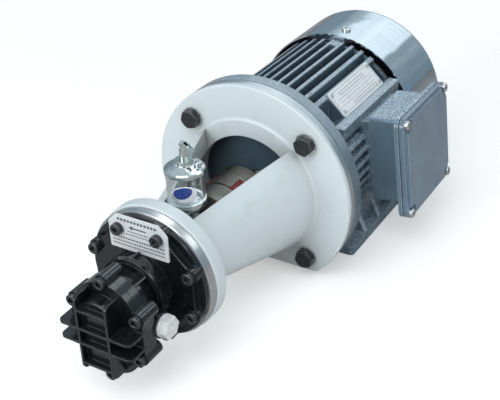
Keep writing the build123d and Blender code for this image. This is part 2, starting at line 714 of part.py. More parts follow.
def plate_on_pad(shape):
    """Lay a piece drawn about the origin, face up, onto the plate pad of the frame."""
    pad = Plane(origin=(0, 0, SHAFT_HEIGHT), x_dir=(0, 1, 0), z_dir=(cos(radians(PLATE_ANGLE)), 0, sin(radians(PLATE_ANGLE))))
    return pad * Pos(PLATE_Y, PLATE_SHIFT, PLATE_R) * shape


def plate_rivet_places():
    return [(x, y) for x in (-PLATE_L / 2 + 4, PLATE_L / 2 - 4) for y in (-PLATE_W / 2 + 4, PLATE_W / 2 - 4)]


def motor_nameplate():
    plate = extrude(RectangleRounded(PLATE_L, PLATE_W, 2), PLATE_T)
    for x, y in plate_rivet_places():
        plate -= Pos(x, y, PLATE_T / 2) * Cylinder(1.2, PLATE_T)
    return plate_on_pad(plate)


def nameplate_rivets():
    rivets = []
    for x, y in plate_rivet_places():
        rivet = Pos(x, y, 0.5) * Cylinder(2, 1)
        rivet = Pos(0, 0, PLATE_T) * rivet + Pos(x, y, PLATE_T / 2) * Cylinder(1.15, PLATE_T)
        rivets.append(plate_on_pad(rivet))
    return group(rivets)


# Bell housing: a cone between two flanges, with a bearing hub at its neck and a hand window on top
def bell_radius(y):
    """Outer radius of the cone at y, growing evenly from the neck to the root."""
    share = (y - neck_back) / BELL_LENGTH
    return BELL_NECK_R + (BELL_ROOT_R - BELL_NECK_R) * share


def bell_housing():
    bearing_end = neck_face + SEAL_W + 6
    pocket_front = neck_back + BELL_POCKET_FROM_NECK
    outer = turned(
        (neck_face, 0), (neck_face, BELL_NECK_FLANGE_R), (neck_back, BELL_NECK_FLANGE_R),
        (neck_back, BELL_NECK_R), (bell_face, BELL_ROOT_R), (bell_face, FLANGE_R),
        (motor_face, FLANGE_R), (motor_face, 0))
    rims = outer.edges().filter_by(GeomType.CIRCLE)
    outer = fillet([e for e in rims if e.radius > FLANGE_R - 1 or abs(e.radius - BELL_NECK_FLANGE_R) < 1], 1.5)
    root = [e for e in outer.edges().filter_by(GeomType.CIRCLE)
            if abs(e.radius - BELL_ROOT_R) < 0.1 or abs(e.radius - BELL_NECK_R) < 0.1]
    outer = fillet(root, 3)
    hollow = turned(
        (motor_face, 0), (motor_face, SPIGOT_R), (motor_face - SPIGOT_H - 0.5, SPIGOT_R),
        (motor_face - SPIGOT_H - 0.5, BELL_MOUTH_R), (bell_face, BELL_MOUTH_R),
        (pocket_front, bell_radius(pocket_front) - BELL_WALL), (pocket_front, BELL_HUB_R), (hub_back, BELL_HUB_R),
        (hub_back, PUMP_BEARING_R + SEAT),
        (bearing_end, PUMP_BEARING_R + SEAT), (bearing_end, PUMP_SHAFT_R + 1.5),
        (neck_face + SEAL_W, PUMP_SHAFT_R + 1.5), (neck_face + SEAL_W, SEAL_R + SEAT),
        (neck_face, SEAL_R + SEAT), (neck_face, 0))
    bell = outer - hollow
    window_rear = bell_face - WINDOW_REAR_GAP
    window_front = bell_face - WINDOW_FRONT_FROM_FACE
    grow = (WINDOW_REAR_HALF - WINDOW_NECK_HALF) / BELL_LENGTH
    front_half = WINDOW_NECK_HALF + grow * (window_front - neck_back)
    rear_half = WINDOW_REAR_HALF - grow * WINDOW_REAR_GAP
    window = Polygon((-front_half, window_front), (front_half, window_front), (rear_half, window_rear),
                     (-rear_half, window_rear), align=None)
    bell -= Pos(0, 0, oiler_floor) * extrude(window, FLANGE_R)
    bell -= Pos(0, oiler_y, oiler_floor) * Cylinder(OILER_BOWL_R + 1, 2 * (bell_radius(oiler_y) - WINDOW_FLOOR) + 8,
                                                    align=(Align.CENTER, Align.CENTER, Align.MIN))
    bell -= Pos(0, oiler_y, oiler_floor - 6) * Cylinder(3 + SEAT, 20)
    bell -= Pos(0, (bell_face + motor_face) / 2, SHAFT_HEIGHT - FLANGE_FLAT - FLANGE_R / 2) * Box(
        2 * FLANGE_R, 4 * BELL_FLANGE_T, FLANGE_R)
    for angle in range(45, 360, 90):
        x, z = around(angle, FLANGE_BOLT_R)
        bell -= disc(M10_R + 1, bell_face - 1, motor_face, x, z)
    for k in range(ADAPTER_SCREWS):
        x, z = around((k + 0.5) * 360 / ADAPTER_SCREWS, ADAPTER_SCREW_R)
        bell -= disc(M6_R + SEAT, neck_face, neck_face + 11, x, z)
    return bell


def flange_bolts():
    bolts = []
    for angle in range(45, 360, 90):
        x, z = around(angle, FLANGE_BOLT_R)
        seat = bell_face - M10_WASHER_T
        head = slab(Pos(x, z) * Rot(0, 0, angle) * hexagon(M10_HEAD_FLAT), seat - M10_HEAD_H, seat)
        head &= turned_at(x, z, (seat - M10_HEAD_H, 0), (seat - M10_HEAD_H, M10_HEAD_FLAT * 0.48),
                          (seat - M10_HEAD_H + 1.2, M10_HEAD_FLAT * 0.6), (seat, M10_HEAD_FLAT * 0.6), (seat, 0))
        bolts.append(head + disc(M10_R, seat, flange_back - 1, x, z))
    return group(bolts)


def turned_at(x, z, *points):
    """A body of revolution about a line along the shaft direction, x and z away from the axis."""
    profile = Plane(origin=(x, 0, SHAFT_HEIGHT + z), x_dir=(0, 1, 0), z_dir=(1, 0, 0)) * Polygon(*points, align=None)
    return revolve(profile, Axis((x, 0, SHAFT_HEIGHT + z), (0, 1, 0)), 360)


def flange_washers():
    return group(tube(10, M10_R + SCREW_CLEAR, bell_face - M10_WASHER_T, bell_face, *around(angle, FLANGE_BOLT_R))
                 for angle in range(45, 360, 90))


# Claw coupling: two hubs whose claws grip a star of soft legs
def sector(inner, outer, start, sweep):
    """A ring sector between two radii, from a start angle over a sweep of under 180 degrees."""
    reach = outer / cos(radians(sweep / 2)) + 1
    wedge = Polygon((0, 0), (reach, -reach * tan(radians(sweep / 2))), (reach, reach * tan(radians(sweep / 2))),
                    align=None)
    return (Circle(outer) - Circle(inner)) & (Rot(0, 0, start + sweep / 2) * wedge)


def coupling_hub(front, back, bore, claw_front, claw_back, first_claw):
    hub = tube(CLAW_R, bore + SEAT, front, back)
    hub = chamfer(hub.edges().filter_by(GeomType.CIRCLE).group_by(SortBy.RADIUS)[-1], 0.8)
    for k in range(CLAW_COUNT):
        claw = sector(CLAW_BORE_R, CLAW_R, first_claw + k * 360 / CLAW_COUNT, CLAW_ANGLE)
        hub += slab(claw, claw_front, claw_back)
    return hub


def motor_coupling_hub():
    back = bell_face - COUPLING_FACE_GAP
    hub = coupling_hub(motor_claw_front, back, SHAFT_END_R, motor_claw_front - SPIDER_W + CLAW_END_GAP,
                       motor_claw_front, CLAW_TURN - CLAW_ANGLE / 2)
    hub -= Pos(0, back - MOTOR_CLAW_BODY / 2, SHAFT_HEIGHT + SHAFT_END_R) * Box(6, MOTOR_CLAW_BODY + 1, 6)
    hub -= Pos(0, back - 8, SHAFT_HEIGHT - CLAW_R / 2 - 2) * Cylinder(M6_R + SEAT, CLAW_R)
    return hub


def pump_coupling_hub():
    hub = coupling_hub(pump_claw_front, pump_claw_back, PUMP_SHAFT_R, pump_claw_back,
                       pump_claw_back + SPIDER_W - CLAW_END_GAP, CLAW_TURN + 180 / CLAW_COUNT - CLAW_ANGLE / 2)
    return hub - Pos(0, pump_claw_front + 8, SHAFT_HEIGHT - CLAW_R / 2 - 2) * Cylinder(M6_R + SEAT, CLAW_R)


def coupling_set_screws():
    low = SHAFT_HEIGHT - CLAW_R + 2
    screws = []
    for y, shaft_r in ((bell_face - COUPLING_FACE_GAP - 8, SHAFT_END_R), (pump_claw_front + 8, PUMP_SHAFT_R)):
        high = SHAFT_HEIGHT - shaft_r - RUNNING
        screw = Pos(0, y, (low + high) / 2) * Cylinder(M6_R, high - low)
        screws.append(screw - Pos(0, y, low) * extrude(hexagon(3), 3))
    return group(screws)


def coupling_spider():
    leg_angle = 180 / CLAW_COUNT - CLAW_ANGLE
    front = pump_claw_back + 0.8
    back = motor_claw_front - 0.8
    spider = tube(CLAW_BORE_R - 0.2, 7, front, back)
    for k in range(2 * CLAW_COUNT):
        start = CLAW_TURN + CLAW_ANGLE / 2 + k * 180 / CLAW_COUNT
        leg = sector(CLAW_BORE_R - 1, CLAW_R - 0.5, start + 0.4, leg_angle - 0.8)
        spider += slab(leg, front, back)
    return spider


# Pump shaft: from the coupling through two bearings and the seal into the gear head
def pump_shaft():
    front_bush = cover_face - BLOCK_H / 2
    gear_back = housing_front + GEAR_WIDTH + CHAMBER_GAP
    return turned(
        (front_bush, 0), (front_bush, GEAR_SHAFT_R), (gear_back + BUSH_L + 2, GEAR_SHAFT_R),
        (gear_back + BUSH_L + 2, PUMP_SHAFT_R - 1), (ring_face, PUMP_SHAFT_R - 1), (ring_face, PUMP_SHAFT_R),
        (neck_face + SEAL_W + 6 + PUMP_BEARING_W, PUMP_SHAFT_R), (neck_face + SEAL_W + 6 + PUMP_BEARING_W, PUMP_SHOULDER_R),
        (hub_back - 2 - PUMP_BEARING_W, PUMP_SHOULDER_R), (hub_back - 2 - PUMP_BEARING_W, PUMP_SHAFT_R),
        (pump_claw_back, PUMP_SHAFT_R), (pump_claw_back, 0))


def pump_bearings():
    fronts = (neck_face + SEAL_W + 6, hub_back - 2 - PUMP_BEARING_W)
    pairs = [bearing(front, PUMP_BEARING_W, PUMP_SHAFT_R, PUMP_BEARING_R, PUMP_BEARING_RACE) for front in fronts]
    return group(p[0] for p in pairs), group(p[1] for p in pairs)


def bearing_circlip():
    front = hub_back - 2 + SEAT
    ring = tube(PUMP_BEARING_R, PUMP_BEARING_R - 3, front, front + CIRCLIP_T)
    gap = Pos(0, front, SHAFT_HEIGHT - PUMP_BEARING_R) * Box(8, 6, 12)
    return ring - gap


def shaft_seal():
    front = neck_face
    back = front + SEAL_W
    lip = PUMP_SHAFT_R + RUNNING
    return turned((front, lip + 1), (front, SEAL_R), (back, SEAL_R), (back, lip + 1), (back - 2.5, lip),
                  (back - 4, lip + 1.5), (front + 2, lip + 1.5))


# Mounting ring: machined aluminium, the bright band between bell and pump
def mounting_ring():
    ring = tube(RING_R, NECK_R - 4, ring_face, neck_face)
    ring = chamfer(ring.edges().filter_by(GeomType.CIRCLE).group_by(SortBy.RADIUS)[-1], 0.8)
    for k in range(ADAPTER_SCREWS):
        x, z = around((k + 0.5) * 360 / ADAPTER_SCREWS, ADAPTER_SCREW_R)
        ring -= disc(M6_R + SCREW_CLEAR, ring_face, neck_face, x, z)
    return ring


# Adapter cover: a black cast plate with eight screw bosses and the round neck of the pump
def adapter_cover():
    spigot_back = ring_face + 4
    cover = disc(COVER_RIM_R, ring_face - ADAPTER_RIM_T, ring_face)
    cover += disc(NECK_R - 4 - SEAT, ring_face, spigot_back)
    boss_reach = ADAPTER_SCREW_R + 2.5
    cover += slab(Rot(0, 0, 180 / ADAPTER_SCREWS) * RegularPolygon(boss_reach, ADAPTER_SCREWS), adapter_face, ring_face)
    for k in range(ADAPTER_SCREWS):
        x, z = around((k + 0.5) * 360 / ADAPTER_SCREWS, ADAPTER_SCREW_R)
        cover += disc(ADAPTER_BOSS_R, adapter_face, ring_face, x, z)
    neck = disc(NECK_ROOT_R, neck_front, adapter_face) + disc(NECK_R, neck_front, neck_front + NECK_FLANGE_T)
    for k in range(NECK_WEBS):
        web = Pos(NECK_R - 4, (neck_front + adapter_face) / 2 - TAG_T, SHAFT_HEIGHT) * Box(7, NECK_L - 2 * TAG_T, 2)
        neck += turn(web, WEB_START + k * 360 / NECK_WEBS)
    neck -= disc(NECK_R - NECK_LIP, neck_front, neck_front + NECK_LIP_H) - disc(NECK_R - 2 * NECK_LIP, neck_front, neck_front + NECK_LIP_H)
    cover += neck
    cover -= disc(PUMP_SHAFT_R + 1, neck_front, spigot_back)
    cover -= disc(PUMP_SHAFT_R + 6, adapter_face, spigot_back)
    for k in range(ADAPTER_SCREWS):
        x, z = around((k + 0.5) * 360 / ADAPTER_SCREWS, ADAPTER_SCREW_R)
        cover -= disc(M6_R + SCREW_CLEAR, adapter_face, ring_face, x, z)
    return cover


def adapter_screws():
    screws = []
    length = neck_face + 9 - adapter_face
    tag_screws = (1, 2)
    for k in range(ADAPTER_SCREWS):
        x, z = around((k + 0.5) * 360 / ADAPTER_SCREWS, ADAPTER_SCREW_R)
        seat = adapter_face - TAG_T if k in tag_screws else adapter_face
        screws.append(socket_screw(seat, length, x, z, M6_R, M6_HEAD_R, M6_HEAD_H, M6_SOCKET_FLAT))
    return group(screws)


def pump_nameplate():
    """A bright tag under two of the cover's screws, with its upper corners cut off."""
    x, z = around(1.5 * 360 / ADAPTER_SCREWS, ADAPTER_SCREW_R)
    outline = Polygon((-TAG_HALF_W, TAG_LOW), (TAG_HALF_W, TAG_LOW), (TAG_HALF_W, TAG_TOP - TAG_CUT),
                      (TAG_HALF_W - TAG_CUT, TAG_TOP), (TAG_CUT - TAG_HALF_W, TAG_TOP),
                      (-TAG_HALF_W, TAG_TOP - TAG_CUT), align=None)
    tag = slab(fillet(outline.vertices(), 1.5), adapter_face - TAG_T, adapter_face)
    for side in (-1, 1):
        tag -= disc(M6_R + SCREW_CLEAR, adapter_face - TAG_T, adapter_face, side * x, z)
    return tag


# Gear head: two meshing gears in a chambered housing, closed by the ribbed cover
def gear_outline():
    """An involute gear outline: both flanks from the involute formula, straight below the base circle."""
    pitch_r = GEAR_MODULE * GEAR_TEETH / 2
    alpha = radians(GEAR_PRESSURE_ANGLE)
    base_r = pitch_r * cos(alpha)
    tip_r = pitch_r + GEAR_MODULE * 0.95
    root_r = pitch_r - GEAR_MODULE * 1.2
    half_angle = (pi * GEAR_MODULE / 2 - TOOTH_SHY) / 2 / pitch_r + tan(alpha) - alpha
    flank_steps = 5
    flank = [(root_r, half_angle)]
    for i in range(flank_steps + 1):
        r = base_r + (tip_r - base_r) * i / flank_steps
        roll = acos(base_r / r)
        flank.append((r, half_angle - (tan(roll) - roll)))
    points = []
    for tooth in range(GEAR_TEETH):
        middle = 2 * pi * tooth / GEAR_TEETH
        for r, a in flank:
            points.append((r * cos(middle - a), r * sin(middle - a)))
        for r, a in reversed(flank):
            points.append((r * cos(middle + a), r * sin(middle + a)))
    return Polygon(*points, align=None)


def drive_gear():
    gear = gear_outline() - Circle(GEAR_SHAFT_R + SEAT)
    return slab(gear, housing_front + CHAMBER_GAP, housing_front + CHAMBER_GAP + GEAR_WIDTH)


def driven_gear():
    gear = Rot(0, 0, 180 / GEAR_TEETH) * gear_outline() - Circle(GEAR_SHAFT_R + SEAT)
    return slab(Pos(0, -gear_drop) * gear, housing_front + CHAMBER_GAP, housing_front + CHAMBER_GAP + GEAR_WIDTH)


def driven_shaft():
    return disc(GEAR_SHAFT_R, cover_face - BLOCK_H / 2, housing_front + GEAR_WIDTH + BUSH_L - 0.5, 0, -gear_drop)


def gear_bushes():
    """Plain bushes for both shafts, two in the cover and two behind the gears."""
    outer = GEAR_SHAFT_R + BUSH_WALL
    back_start = housing_front + GEAR_WIDTH + 2 * CHAMBER_GAP
    bushes = []
    for z in (0, -gear_drop):
        bushes.append(tube(outer, GEAR_SHAFT_R + RUNNING, housing_front - BUSH_L, housing_front, 0, z))
        bushes.append(tube(outer, GEAR_SHAFT_R + RUNNING, back_start, back_start + BUSH_L, 0, z))
    return group(bushes)


def head_screw_places():
    """Two screws above and below, and two at each side, all about the gear axes."""
    side_x = sqrt(HEAD_SCREW_R ** 2 - SIDE_SCREW_RISE ** 2)
    places = [(0, HEAD_SCREW_R), (0, -gear_drop - HEAD_SCREW_R)]
    for side in (-1, 1):
        places.append((side * side_x, SIDE_SCREW_RISE))
        places.append((side * side_x, -gear_drop - SIDE_SCREW_RISE))
    return places


def stadium(radius):
    """The outline of two circles about the gear axes, joined by straight flanks."""
    return (Circle(radius) + Pos(0, -gear_drop) * Circle(radius)
            + Pos(0, -gear_drop / 2) * Rectangle(2 * radius, gear_drop))


def head_outline():
    """The drums about both gear axes, the two straight flanks and the six screw bosses."""
    outline = stadium(DRUM_R) + Pos(0, -gear_drop / 2) * Rectangle(2 * FLANK_X, gear_drop + 2 * SIDE_SCREW_RISE)
    for x, z in head_screw_places():
        outline += Pos(x, z) * Circle(HEAD_BOSS_R)
    return outline


def gear_housing():
    flange_back_y = housing_front + HOUSING_FLANGE_T
    housing = slab(head_outline(), housing_front, flange_back_y)
    for x, z in head_screw_places():
        housing += disc(HEAD_BOSS_R, housing_front, housing_front + HEAD_BOSS_L, x, z)
    housing += slab(stadium(HOUSING_R), flange_back_y, neck_front)
    web = Pos(HOUSING_WEB_R / 2, 0) * Rectangle(HOUSING_WEB_R, HOUSING_WEB_T)
    for angle in HOUSING_WEB_ANGLES:
        housing += slab(Rot(0, 0, angle) * web, housing_front, neck_front)
        housing += slab(Pos(0, -gear_drop) * Rot(0, 0, -angle) * web, housing_front, neck_front)
    for side in (-1, 1):
        boss = Pos(side * PORT_X / 2, port_y, SHAFT_HEIGHT + port_z) * Rot(0, 90, 0) * Cylinder(PORT_BOSS_R, PORT_X)
        housing += boss
    housing -= disc(2 * FLANK_X, neck_front, neck_front + PORT_BOSS_R)
    chamber_r = GEAR_MODULE * GEAR_TEETH / 2 + GEAR_MODULE * 0.95 + CHAMBER_GAP
    chamber_back = housing_front + GEAR_WIDTH + 2 * CHAMBER_GAP
    for z in (0, -gear_drop):
        housing -= disc(chamber_r, housing_front, chamber_back, 0, z)
        housing -= disc(GEAR_SHAFT_R + BUSH_WALL + SEAT, chamber_back, chamber_back + BUSH_L, 0, z)
    housing -= disc(PUMP_SHAFT_R, chamber_back + BUSH_L, neck_front)
    for side in (-1, 1):
        port = Pos(side * (PORT_X + 9) / 2, port_y, SHAFT_HEIGHT + port_z) * Rot(0, 90, 0) * Cylinder(
            PORT_R, PORT_X - 9)
        housing -= port
    groove = stadium(chamber_r + 2 + SEAL_GROOVE) - stadium(chamber_r + 2)
    housing -= slab(groove, housing_front, housing_front + 1.6)
    for x, z in head_screw_places():
        housing -= disc(M6_R + SEAT, housing_front, housing_front + HEAD_BOSS_L - 2, x, z)
    return housing


def housing_seal():
    chamber_r = GEAR_MODULE * GEAR_TEETH / 2 + GEAR_MODULE * 0.95 + CHAMBER_GAP
    ring = stadium(chamber_r + 2 + SEAL_GROOVE - 0.15) - stadium(chamber_r + 2 + 0.15)
    return slab(ring, housing_front + 0.02, housing_front + 1.55)


def front_cover():
    cover = slab(head_outline(), cover_face, housing_front)
    block = Circle(BLOCK_R) + Pos(0, -RIB_FOOT / 2) * Rectangle(2 * BLOCK_R, RIB_FOOT)
    block &= Rectangle(2 * RIB_X, 3 * RIB_FOOT)
    cover += slab(block, block_face, cover_face)
    cover = fillet(cover.edges().filter_by_position(Axis.Y, block_face - 0.1, block_face + 0.1), 1.5)
    rib_plane = Plane(origin=(0, 0, SHAFT_HEIGHT), x_dir=(0, -1, 0), z_dir=(-1, 0, 0))
    root = HEAD_COVER_T / 2 - housing_front
    tip = -rib_face
    upright = Pos((root + tip) / 2, (RIB_TOP - RIB_FOOT) / 2) * Rectangle(tip - root, RIB_TOP + RIB_FOOT)
    upright = fillet(upright.vertices().sort_by(Axis.X)[-2:], RIB_CORNER)
    for x in (-RIB_X, RIB_X):
        cover += Pos(x + RIB_T / 2, 0, 0) * extrude(rib_plane * upright, RIB_T)
    for z, half in [(z, WING_TIP_X) for z in WING_Z] + [(z, RIB_X) for z in SHORT_RIB_Z]:
        fin = Pos(0, (rib_face + housing_front - HEAD_COVER_T / 2) / 2) * Rectangle(
            2 * half, housing_front - HEAD_COVER_T / 2 - rib_face)
        if half > RIB_X:
            fin = fillet(fin.vertices().sort_by(Axis.Y)[:2], RIB_CORNER)
        cover += Pos(0, 0, SHAFT_HEIGHT + z - RIB_T / 2) * extrude(fin, RIB_T)
    for x, z in head_screw_places():
        cover -= disc(M6_HEAD_R + 0.6, rib_face, cover_face + HEAD_SINK, x, z)
        cover -= disc(M6_R + SCREW_CLEAR, cover_face, housing_front, x, z)
    for z in (0, -gear_drop):
        cover -= disc(GEAR_SHAFT_R + BUSH_WALL + SEAT, housing_front - BUSH_L, housing_front, 0, z)
        cover -= disc(GEAR_SHAFT_R + 1, cover_face - BLOCK_H / 2 - 1, housing_front, 0, z)
    return cover


def cover_screws():
    seat = cover_face + HEAD_SINK
    length = housing_front + HEAD_BOSS_L - 3 - seat
    return group(socket_screw(seat, length, x, z, M6_R, M6_HEAD_R, 6, M6_SOCKET_FLAT) for x, z in head_screw_places())


def port_plugs():
    """White moulded plugs that keep dirt out of the two ports: stem, collar and hexagon."""
    plugs = []
    for side in (-1, 1):
        plane = Plane(origin=(side * PORT_X, port_y, SHAFT_HEIGHT + port_z), x_dir=(0, 1, 0), z_dir=(side, 0, 0))
        collar = fillet(extrude(plane * Circle(PORT_COLLAR_R), PORT_COLLAR_T).edges().filter_by(GeomType.CIRCLE), 0.6)
        head = extrude(plane.offset(PORT_COLLAR_T) * hexagon(PORT_HEX_FLAT), PORT_HEX_H)
        head = chamfer(head.faces().sort_by(Axis.X)[-1 if side > 0 else 0].edges(), 1)
        stem = extrude(plane * Circle(PORT_R - SEAT), -(PORT_X - 20))
        plugs.append(collar + head + stem)
    return group(plugs)


# Drip oiler: stem and bowl, glass, lid with its post, needle, nut, lever and filler cap
def oiler_base():
    bowl = spun(0, oiler_y, (0, bowl_z), (OILER_STEM_R + 4, bowl_z), (OILER_BOWL_R - 1.5, bowl_z + 3.5),
                (OILER_BOWL_R, bowl_z + 6), (OILER_BOWL_R, glass_z), (OILER_GLASS_R - OILER_GLASS_WALL - 1, glass_z),
                (OILER_GLASS_R - OILER_GLASS_WALL - 1, glass_z - 2.5), (0, glass_z - 2.5))
    stem = Pos(0, oiler_y, (oiler_floor + bowl_z) / 2) * Cylinder(OILER_STEM_R, bowl_z - oiler_floor)
    thread_l = WINDOW_FLOOR - PUMP_BEARING_R - 0.5
    thread = Pos(0, oiler_y, oiler_floor - thread_l / 2) * Cylinder(3, thread_l)
    drip = Pos(0, oiler_y, (oiler_floor - 6 + glass_z) / 2) * Cylinder(OILER_NEEDLE_R + 0.3, glass_z - oiler_floor + 16)
    return bowl + stem + thread - drip


def oiler_glass():
    z0 = glass_z + SEAT
    z1 = lid_z - SEAT
    glass = Pos(0, oiler_y, (z0 + z1) / 2) * Cylinder(OILER_GLASS_R, z1 - z0)
    return glass - Pos(0, oiler_y, (z0 + z1) / 2) * Cylinder(OILER_GLASS_R - OILER_GLASS_WALL, z1 - z0)


def cap_place():
    return OILER_CAP_OFFSET, oiler_y + 3


def oiler_lid():
    rim = lid_z + OILER_LID_H
    lid = spun(0, oiler_y, (0, lid_z), (OILER_LID_R, lid_z), (OILER_LID_R, rim - 1), (OILER_LID_R - 1, rim),
               (OILER_POST_R + 5, lid_top), (OILER_POST_R, lid_top), (OILER_POST_R, post_top), (0, post_top))
    lid -= Pos(0, oiler_y, lid_z + 30) * Cylinder(OILER_NEEDLE_R + RUNNING, 60)
    x, y = cap_place()
    lid -= Pos(x, y, lid_z + 4) * Cylinder(1.5, 12)
    lid += Pos(x, y, rim + 1.2) * (Cylinder(2.4, 4) - Cylinder(1.5, 4))
    return lid


def oiler_needle():
    """The needle, with a flat eye on top that the lever's pin passes through."""
    z0 = glass_z - 2
    z1 = lever_pivot_z - 2
    stem = Pos(0, oiler_y, (z0 + z1) / 2) * Cylinder(OILER_NEEDLE_R, z1 - z0)
    eye = Pos(0, oiler_y, lever_pivot_z - 1) * Box(3.2, OILER_NEEDLE_HEAD_T, 5.4)
    return stem + eye - Pos(0, oiler_y, lever_pivot_z) * Rot(90, 0, 0) * Cylinder(1, 10)


def oiler_adjusting_nut():
    z = lid_top + RUNNING
    nut = Pos(0, oiler_y, z + OILER_NUT_H / 2) * (
        Cylinder(OILER_NUT_R, OILER_NUT_H) - Cylinder(OILER_POST_R + RUNNING, OILER_NUT_H))
    notches = 16
    for k in range(notches):
        x, y = around(k * 360 / notches, OILER_NUT_R + 0.3)
        nut -= Pos(x, oiler_y + y, z + OILER_NUT_H / 2) * Cylinder(0.7, OILER_NUT_H)
    return nut


def oiler_lever():
    """A slotted snap lever astride the needle's eye, tipped over to the +X side."""
    bar = Pos(OILER_LEVER_L / 2, 0, 0) * Rot(90, 0, 0) * extrude(
        SlotCenterToCenter(OILER_LEVER_L, 2 * OILER_LEVER_R), OILER_LEVER_T / 2, both=True)
    slot = OILER_NEEDLE_HEAD_T + 2 * RUNNING
    bar -= Pos(1, 0, 0) * Box(OILER_LEVER_L + 2, slot, 3 * OILER_LEVER_R)
    bar -= Rot(90, 0, 0) * Cylinder(1 + RUNNING, 10)
    return Pos(0, oiler_y, lever_pivot_z) * Rot(0, OILER_LEVER_TILT, 0) * bar


def oiler_lever_pin():
    return Pos(0, oiler_y, lever_pivot_z) * Rot(90, 0, 0) * Cylinder(1, OILER_LEVER_T + 1)


def oiler_filler_cap():
    x, y = cap_place()
    z = lid_z + OILER_LID_H + 3.2 + SEAT
    cap = Pos(x, y, z + 1.5) * Cylinder(OILER_CAP_R, 3)
    cap = fillet(cap.edges().filter_by(GeomType.CIRCLE).sort_by(Axis.Z)[-1], 1)
    return cap + Pos(x, y, z - 1.5) * Cylinder(1.5 - RUNNING, 3)


def main():
    os.makedirs("parts", exist_ok=True)
    motor_bearings = [bearing(front, BEARING_W, BEARING_SEAT_R, BEARING_R, BEARING_RACE)
                      for front in (front_bearing, rear_bearing)]
    pump_outer_rings, pump_inner_rings = pump_bearings()
    pieces = {
        "motor_housing": motor_housing(),
        "motor_feet": motor_feet(),
        "foot_screws": foot_screws(),
        "drive_end_shield": drive_end_shield(),
        "rear_end_shield": rear_end_shield(),
        "end_shield_screws": end_shield_screws(),
        "stator_core": stator_core(),
        "stator_windings": stator_windings(),
        "rotor_core": rotor_core(),
        "motor_shaft": motor_shaft(),
        "shaft_key": shaft_key(),
        "motor_bearing_outer_rings": group(b[0] for b in motor_bearings),
        "motor_bearing_inner_rings": group(b[1] for b in motor_bearings),
        "cooling_fan": cooling_fan(),
        "fan_cowl": fan_cowl(),
        "cowl_screws": cowl_screws(),
        "terminal_box_base": terminal_box_base(),
        "terminal_box_gasket": terminal_box_gasket(),
        "terminal_box_cover": terminal_box_cover(),
        "terminal_box_screws": terminal_box_screws(),
        "terminal_block": terminal_block(),
        "terminal_studs": terminal_studs(),
        "cable_gland": cable_gland(),
        "motor_nameplate": motor_nameplate(),
        "nameplate_rivets": nameplate_rivets(),
        "bell_housing": bell_housing(),
        "flange_bolts": flange_bolts(),
        "flange_washers": flange_washers(),
        "motor_coupling_hub": motor_coupling_hub(),
        "pump_coupling_hub": pump_coupling_hub(),
        "coupling_spider": coupling_spider(),
        "coupling_set_screws": coupling_set_screws(),
        "pump_shaft": pump_shaft(),
        "pump_bearing_outer_rings": pump_outer_rings,
        "pump_bearing_inner_rings": pump_inner_rings,
        "bearing_circlip": bearing_circlip(),
        "shaft_seal": shaft_seal(),
        "mounting_ring": mounting_ring(),
        "adapter_cover": adapter_cover(),
        "adapter_screws": adapter_screws(),
        "pump_nameplate": pump_nameplate(),
        "gear_housing": gear_housing(),
        "drive_gear": drive_gear(),
        "driven_gear": driven_gear(),
        "driven_shaft": driven_shaft(),
        "gear_bushes": gear_bushes(),
        "housing_seal": housing_seal(),
        "front_cover": front_cover(),
        "cover_screws": cover_screws(),
        "port_plugs": port_plugs(),
        "oiler_base": oiler_base(),
        "oiler_glass": oiler_glass(),
        "oiler_lid": oiler_lid(),
        "oiler_needle": oiler_needle(),
        "oiler_adjusting_nut": oiler_adjusting_nut(),
        "oiler_lever": oiler_lever(),
        "oiler_lever_pin": oiler_lever_pin(),
        "oiler_filler_cap": oiler_filler_cap(),
    }
    for name, shape in pieces.items():
        write(name, shape)
    print(len(pieces), "pieces written")


main()
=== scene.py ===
import math

import bpy
import numpy as np
from mathutils import Matrix, Vector


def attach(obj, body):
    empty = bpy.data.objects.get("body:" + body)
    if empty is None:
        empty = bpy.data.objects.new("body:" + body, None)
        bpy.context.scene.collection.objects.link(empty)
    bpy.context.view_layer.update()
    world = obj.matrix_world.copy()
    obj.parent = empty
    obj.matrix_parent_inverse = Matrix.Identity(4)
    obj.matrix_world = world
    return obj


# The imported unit: a gear metering pump on a bell housing, with its motor behind.
# Everything below is in metres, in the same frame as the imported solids: +Z up and
# +Y along the shaft from the pump head to the motor's fan.
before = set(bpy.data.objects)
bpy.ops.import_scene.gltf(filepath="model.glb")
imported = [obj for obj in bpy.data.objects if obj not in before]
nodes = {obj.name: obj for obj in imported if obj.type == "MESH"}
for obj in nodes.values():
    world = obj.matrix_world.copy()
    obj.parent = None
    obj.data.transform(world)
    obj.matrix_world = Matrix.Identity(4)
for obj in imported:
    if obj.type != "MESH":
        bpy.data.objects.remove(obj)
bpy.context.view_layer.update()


# Camera: a long lens in front of the pump head, a little to the right and above,
# tipped by the few degrees that the photograph has.
CAMERA_PLACE = (0.4033, -0.7587, 0.5292)
TURNED, LOOKING_DOWN, TIPPED = math.radians(32.05), math.radians(31.34), math.radians(-2.40)
camera_data = bpy.data.cameras.new("camera")
camera_data.lens = 69.33
camera_data.sensor_width = 36
camera_data.clip_start = 0.01
camera = bpy.data.objects.new("camera", camera_data)
camera.matrix_world = (
    Matrix.Translation(CAMERA_PLACE)
    @ Matrix.Rotation(TURNED, 4, "Z")
    @ Matrix.Rotation(math.pi / 2 - LOOKING_DOWN, 4, "X")
    @ Matrix.Rotation(TIPPED, 4, "Z")
)
bpy.context.scene.collection.objects.link(camera)
bpy.context.scene.camera = camera
bpy.context.scene.view_settings.view_transform = "Standard"


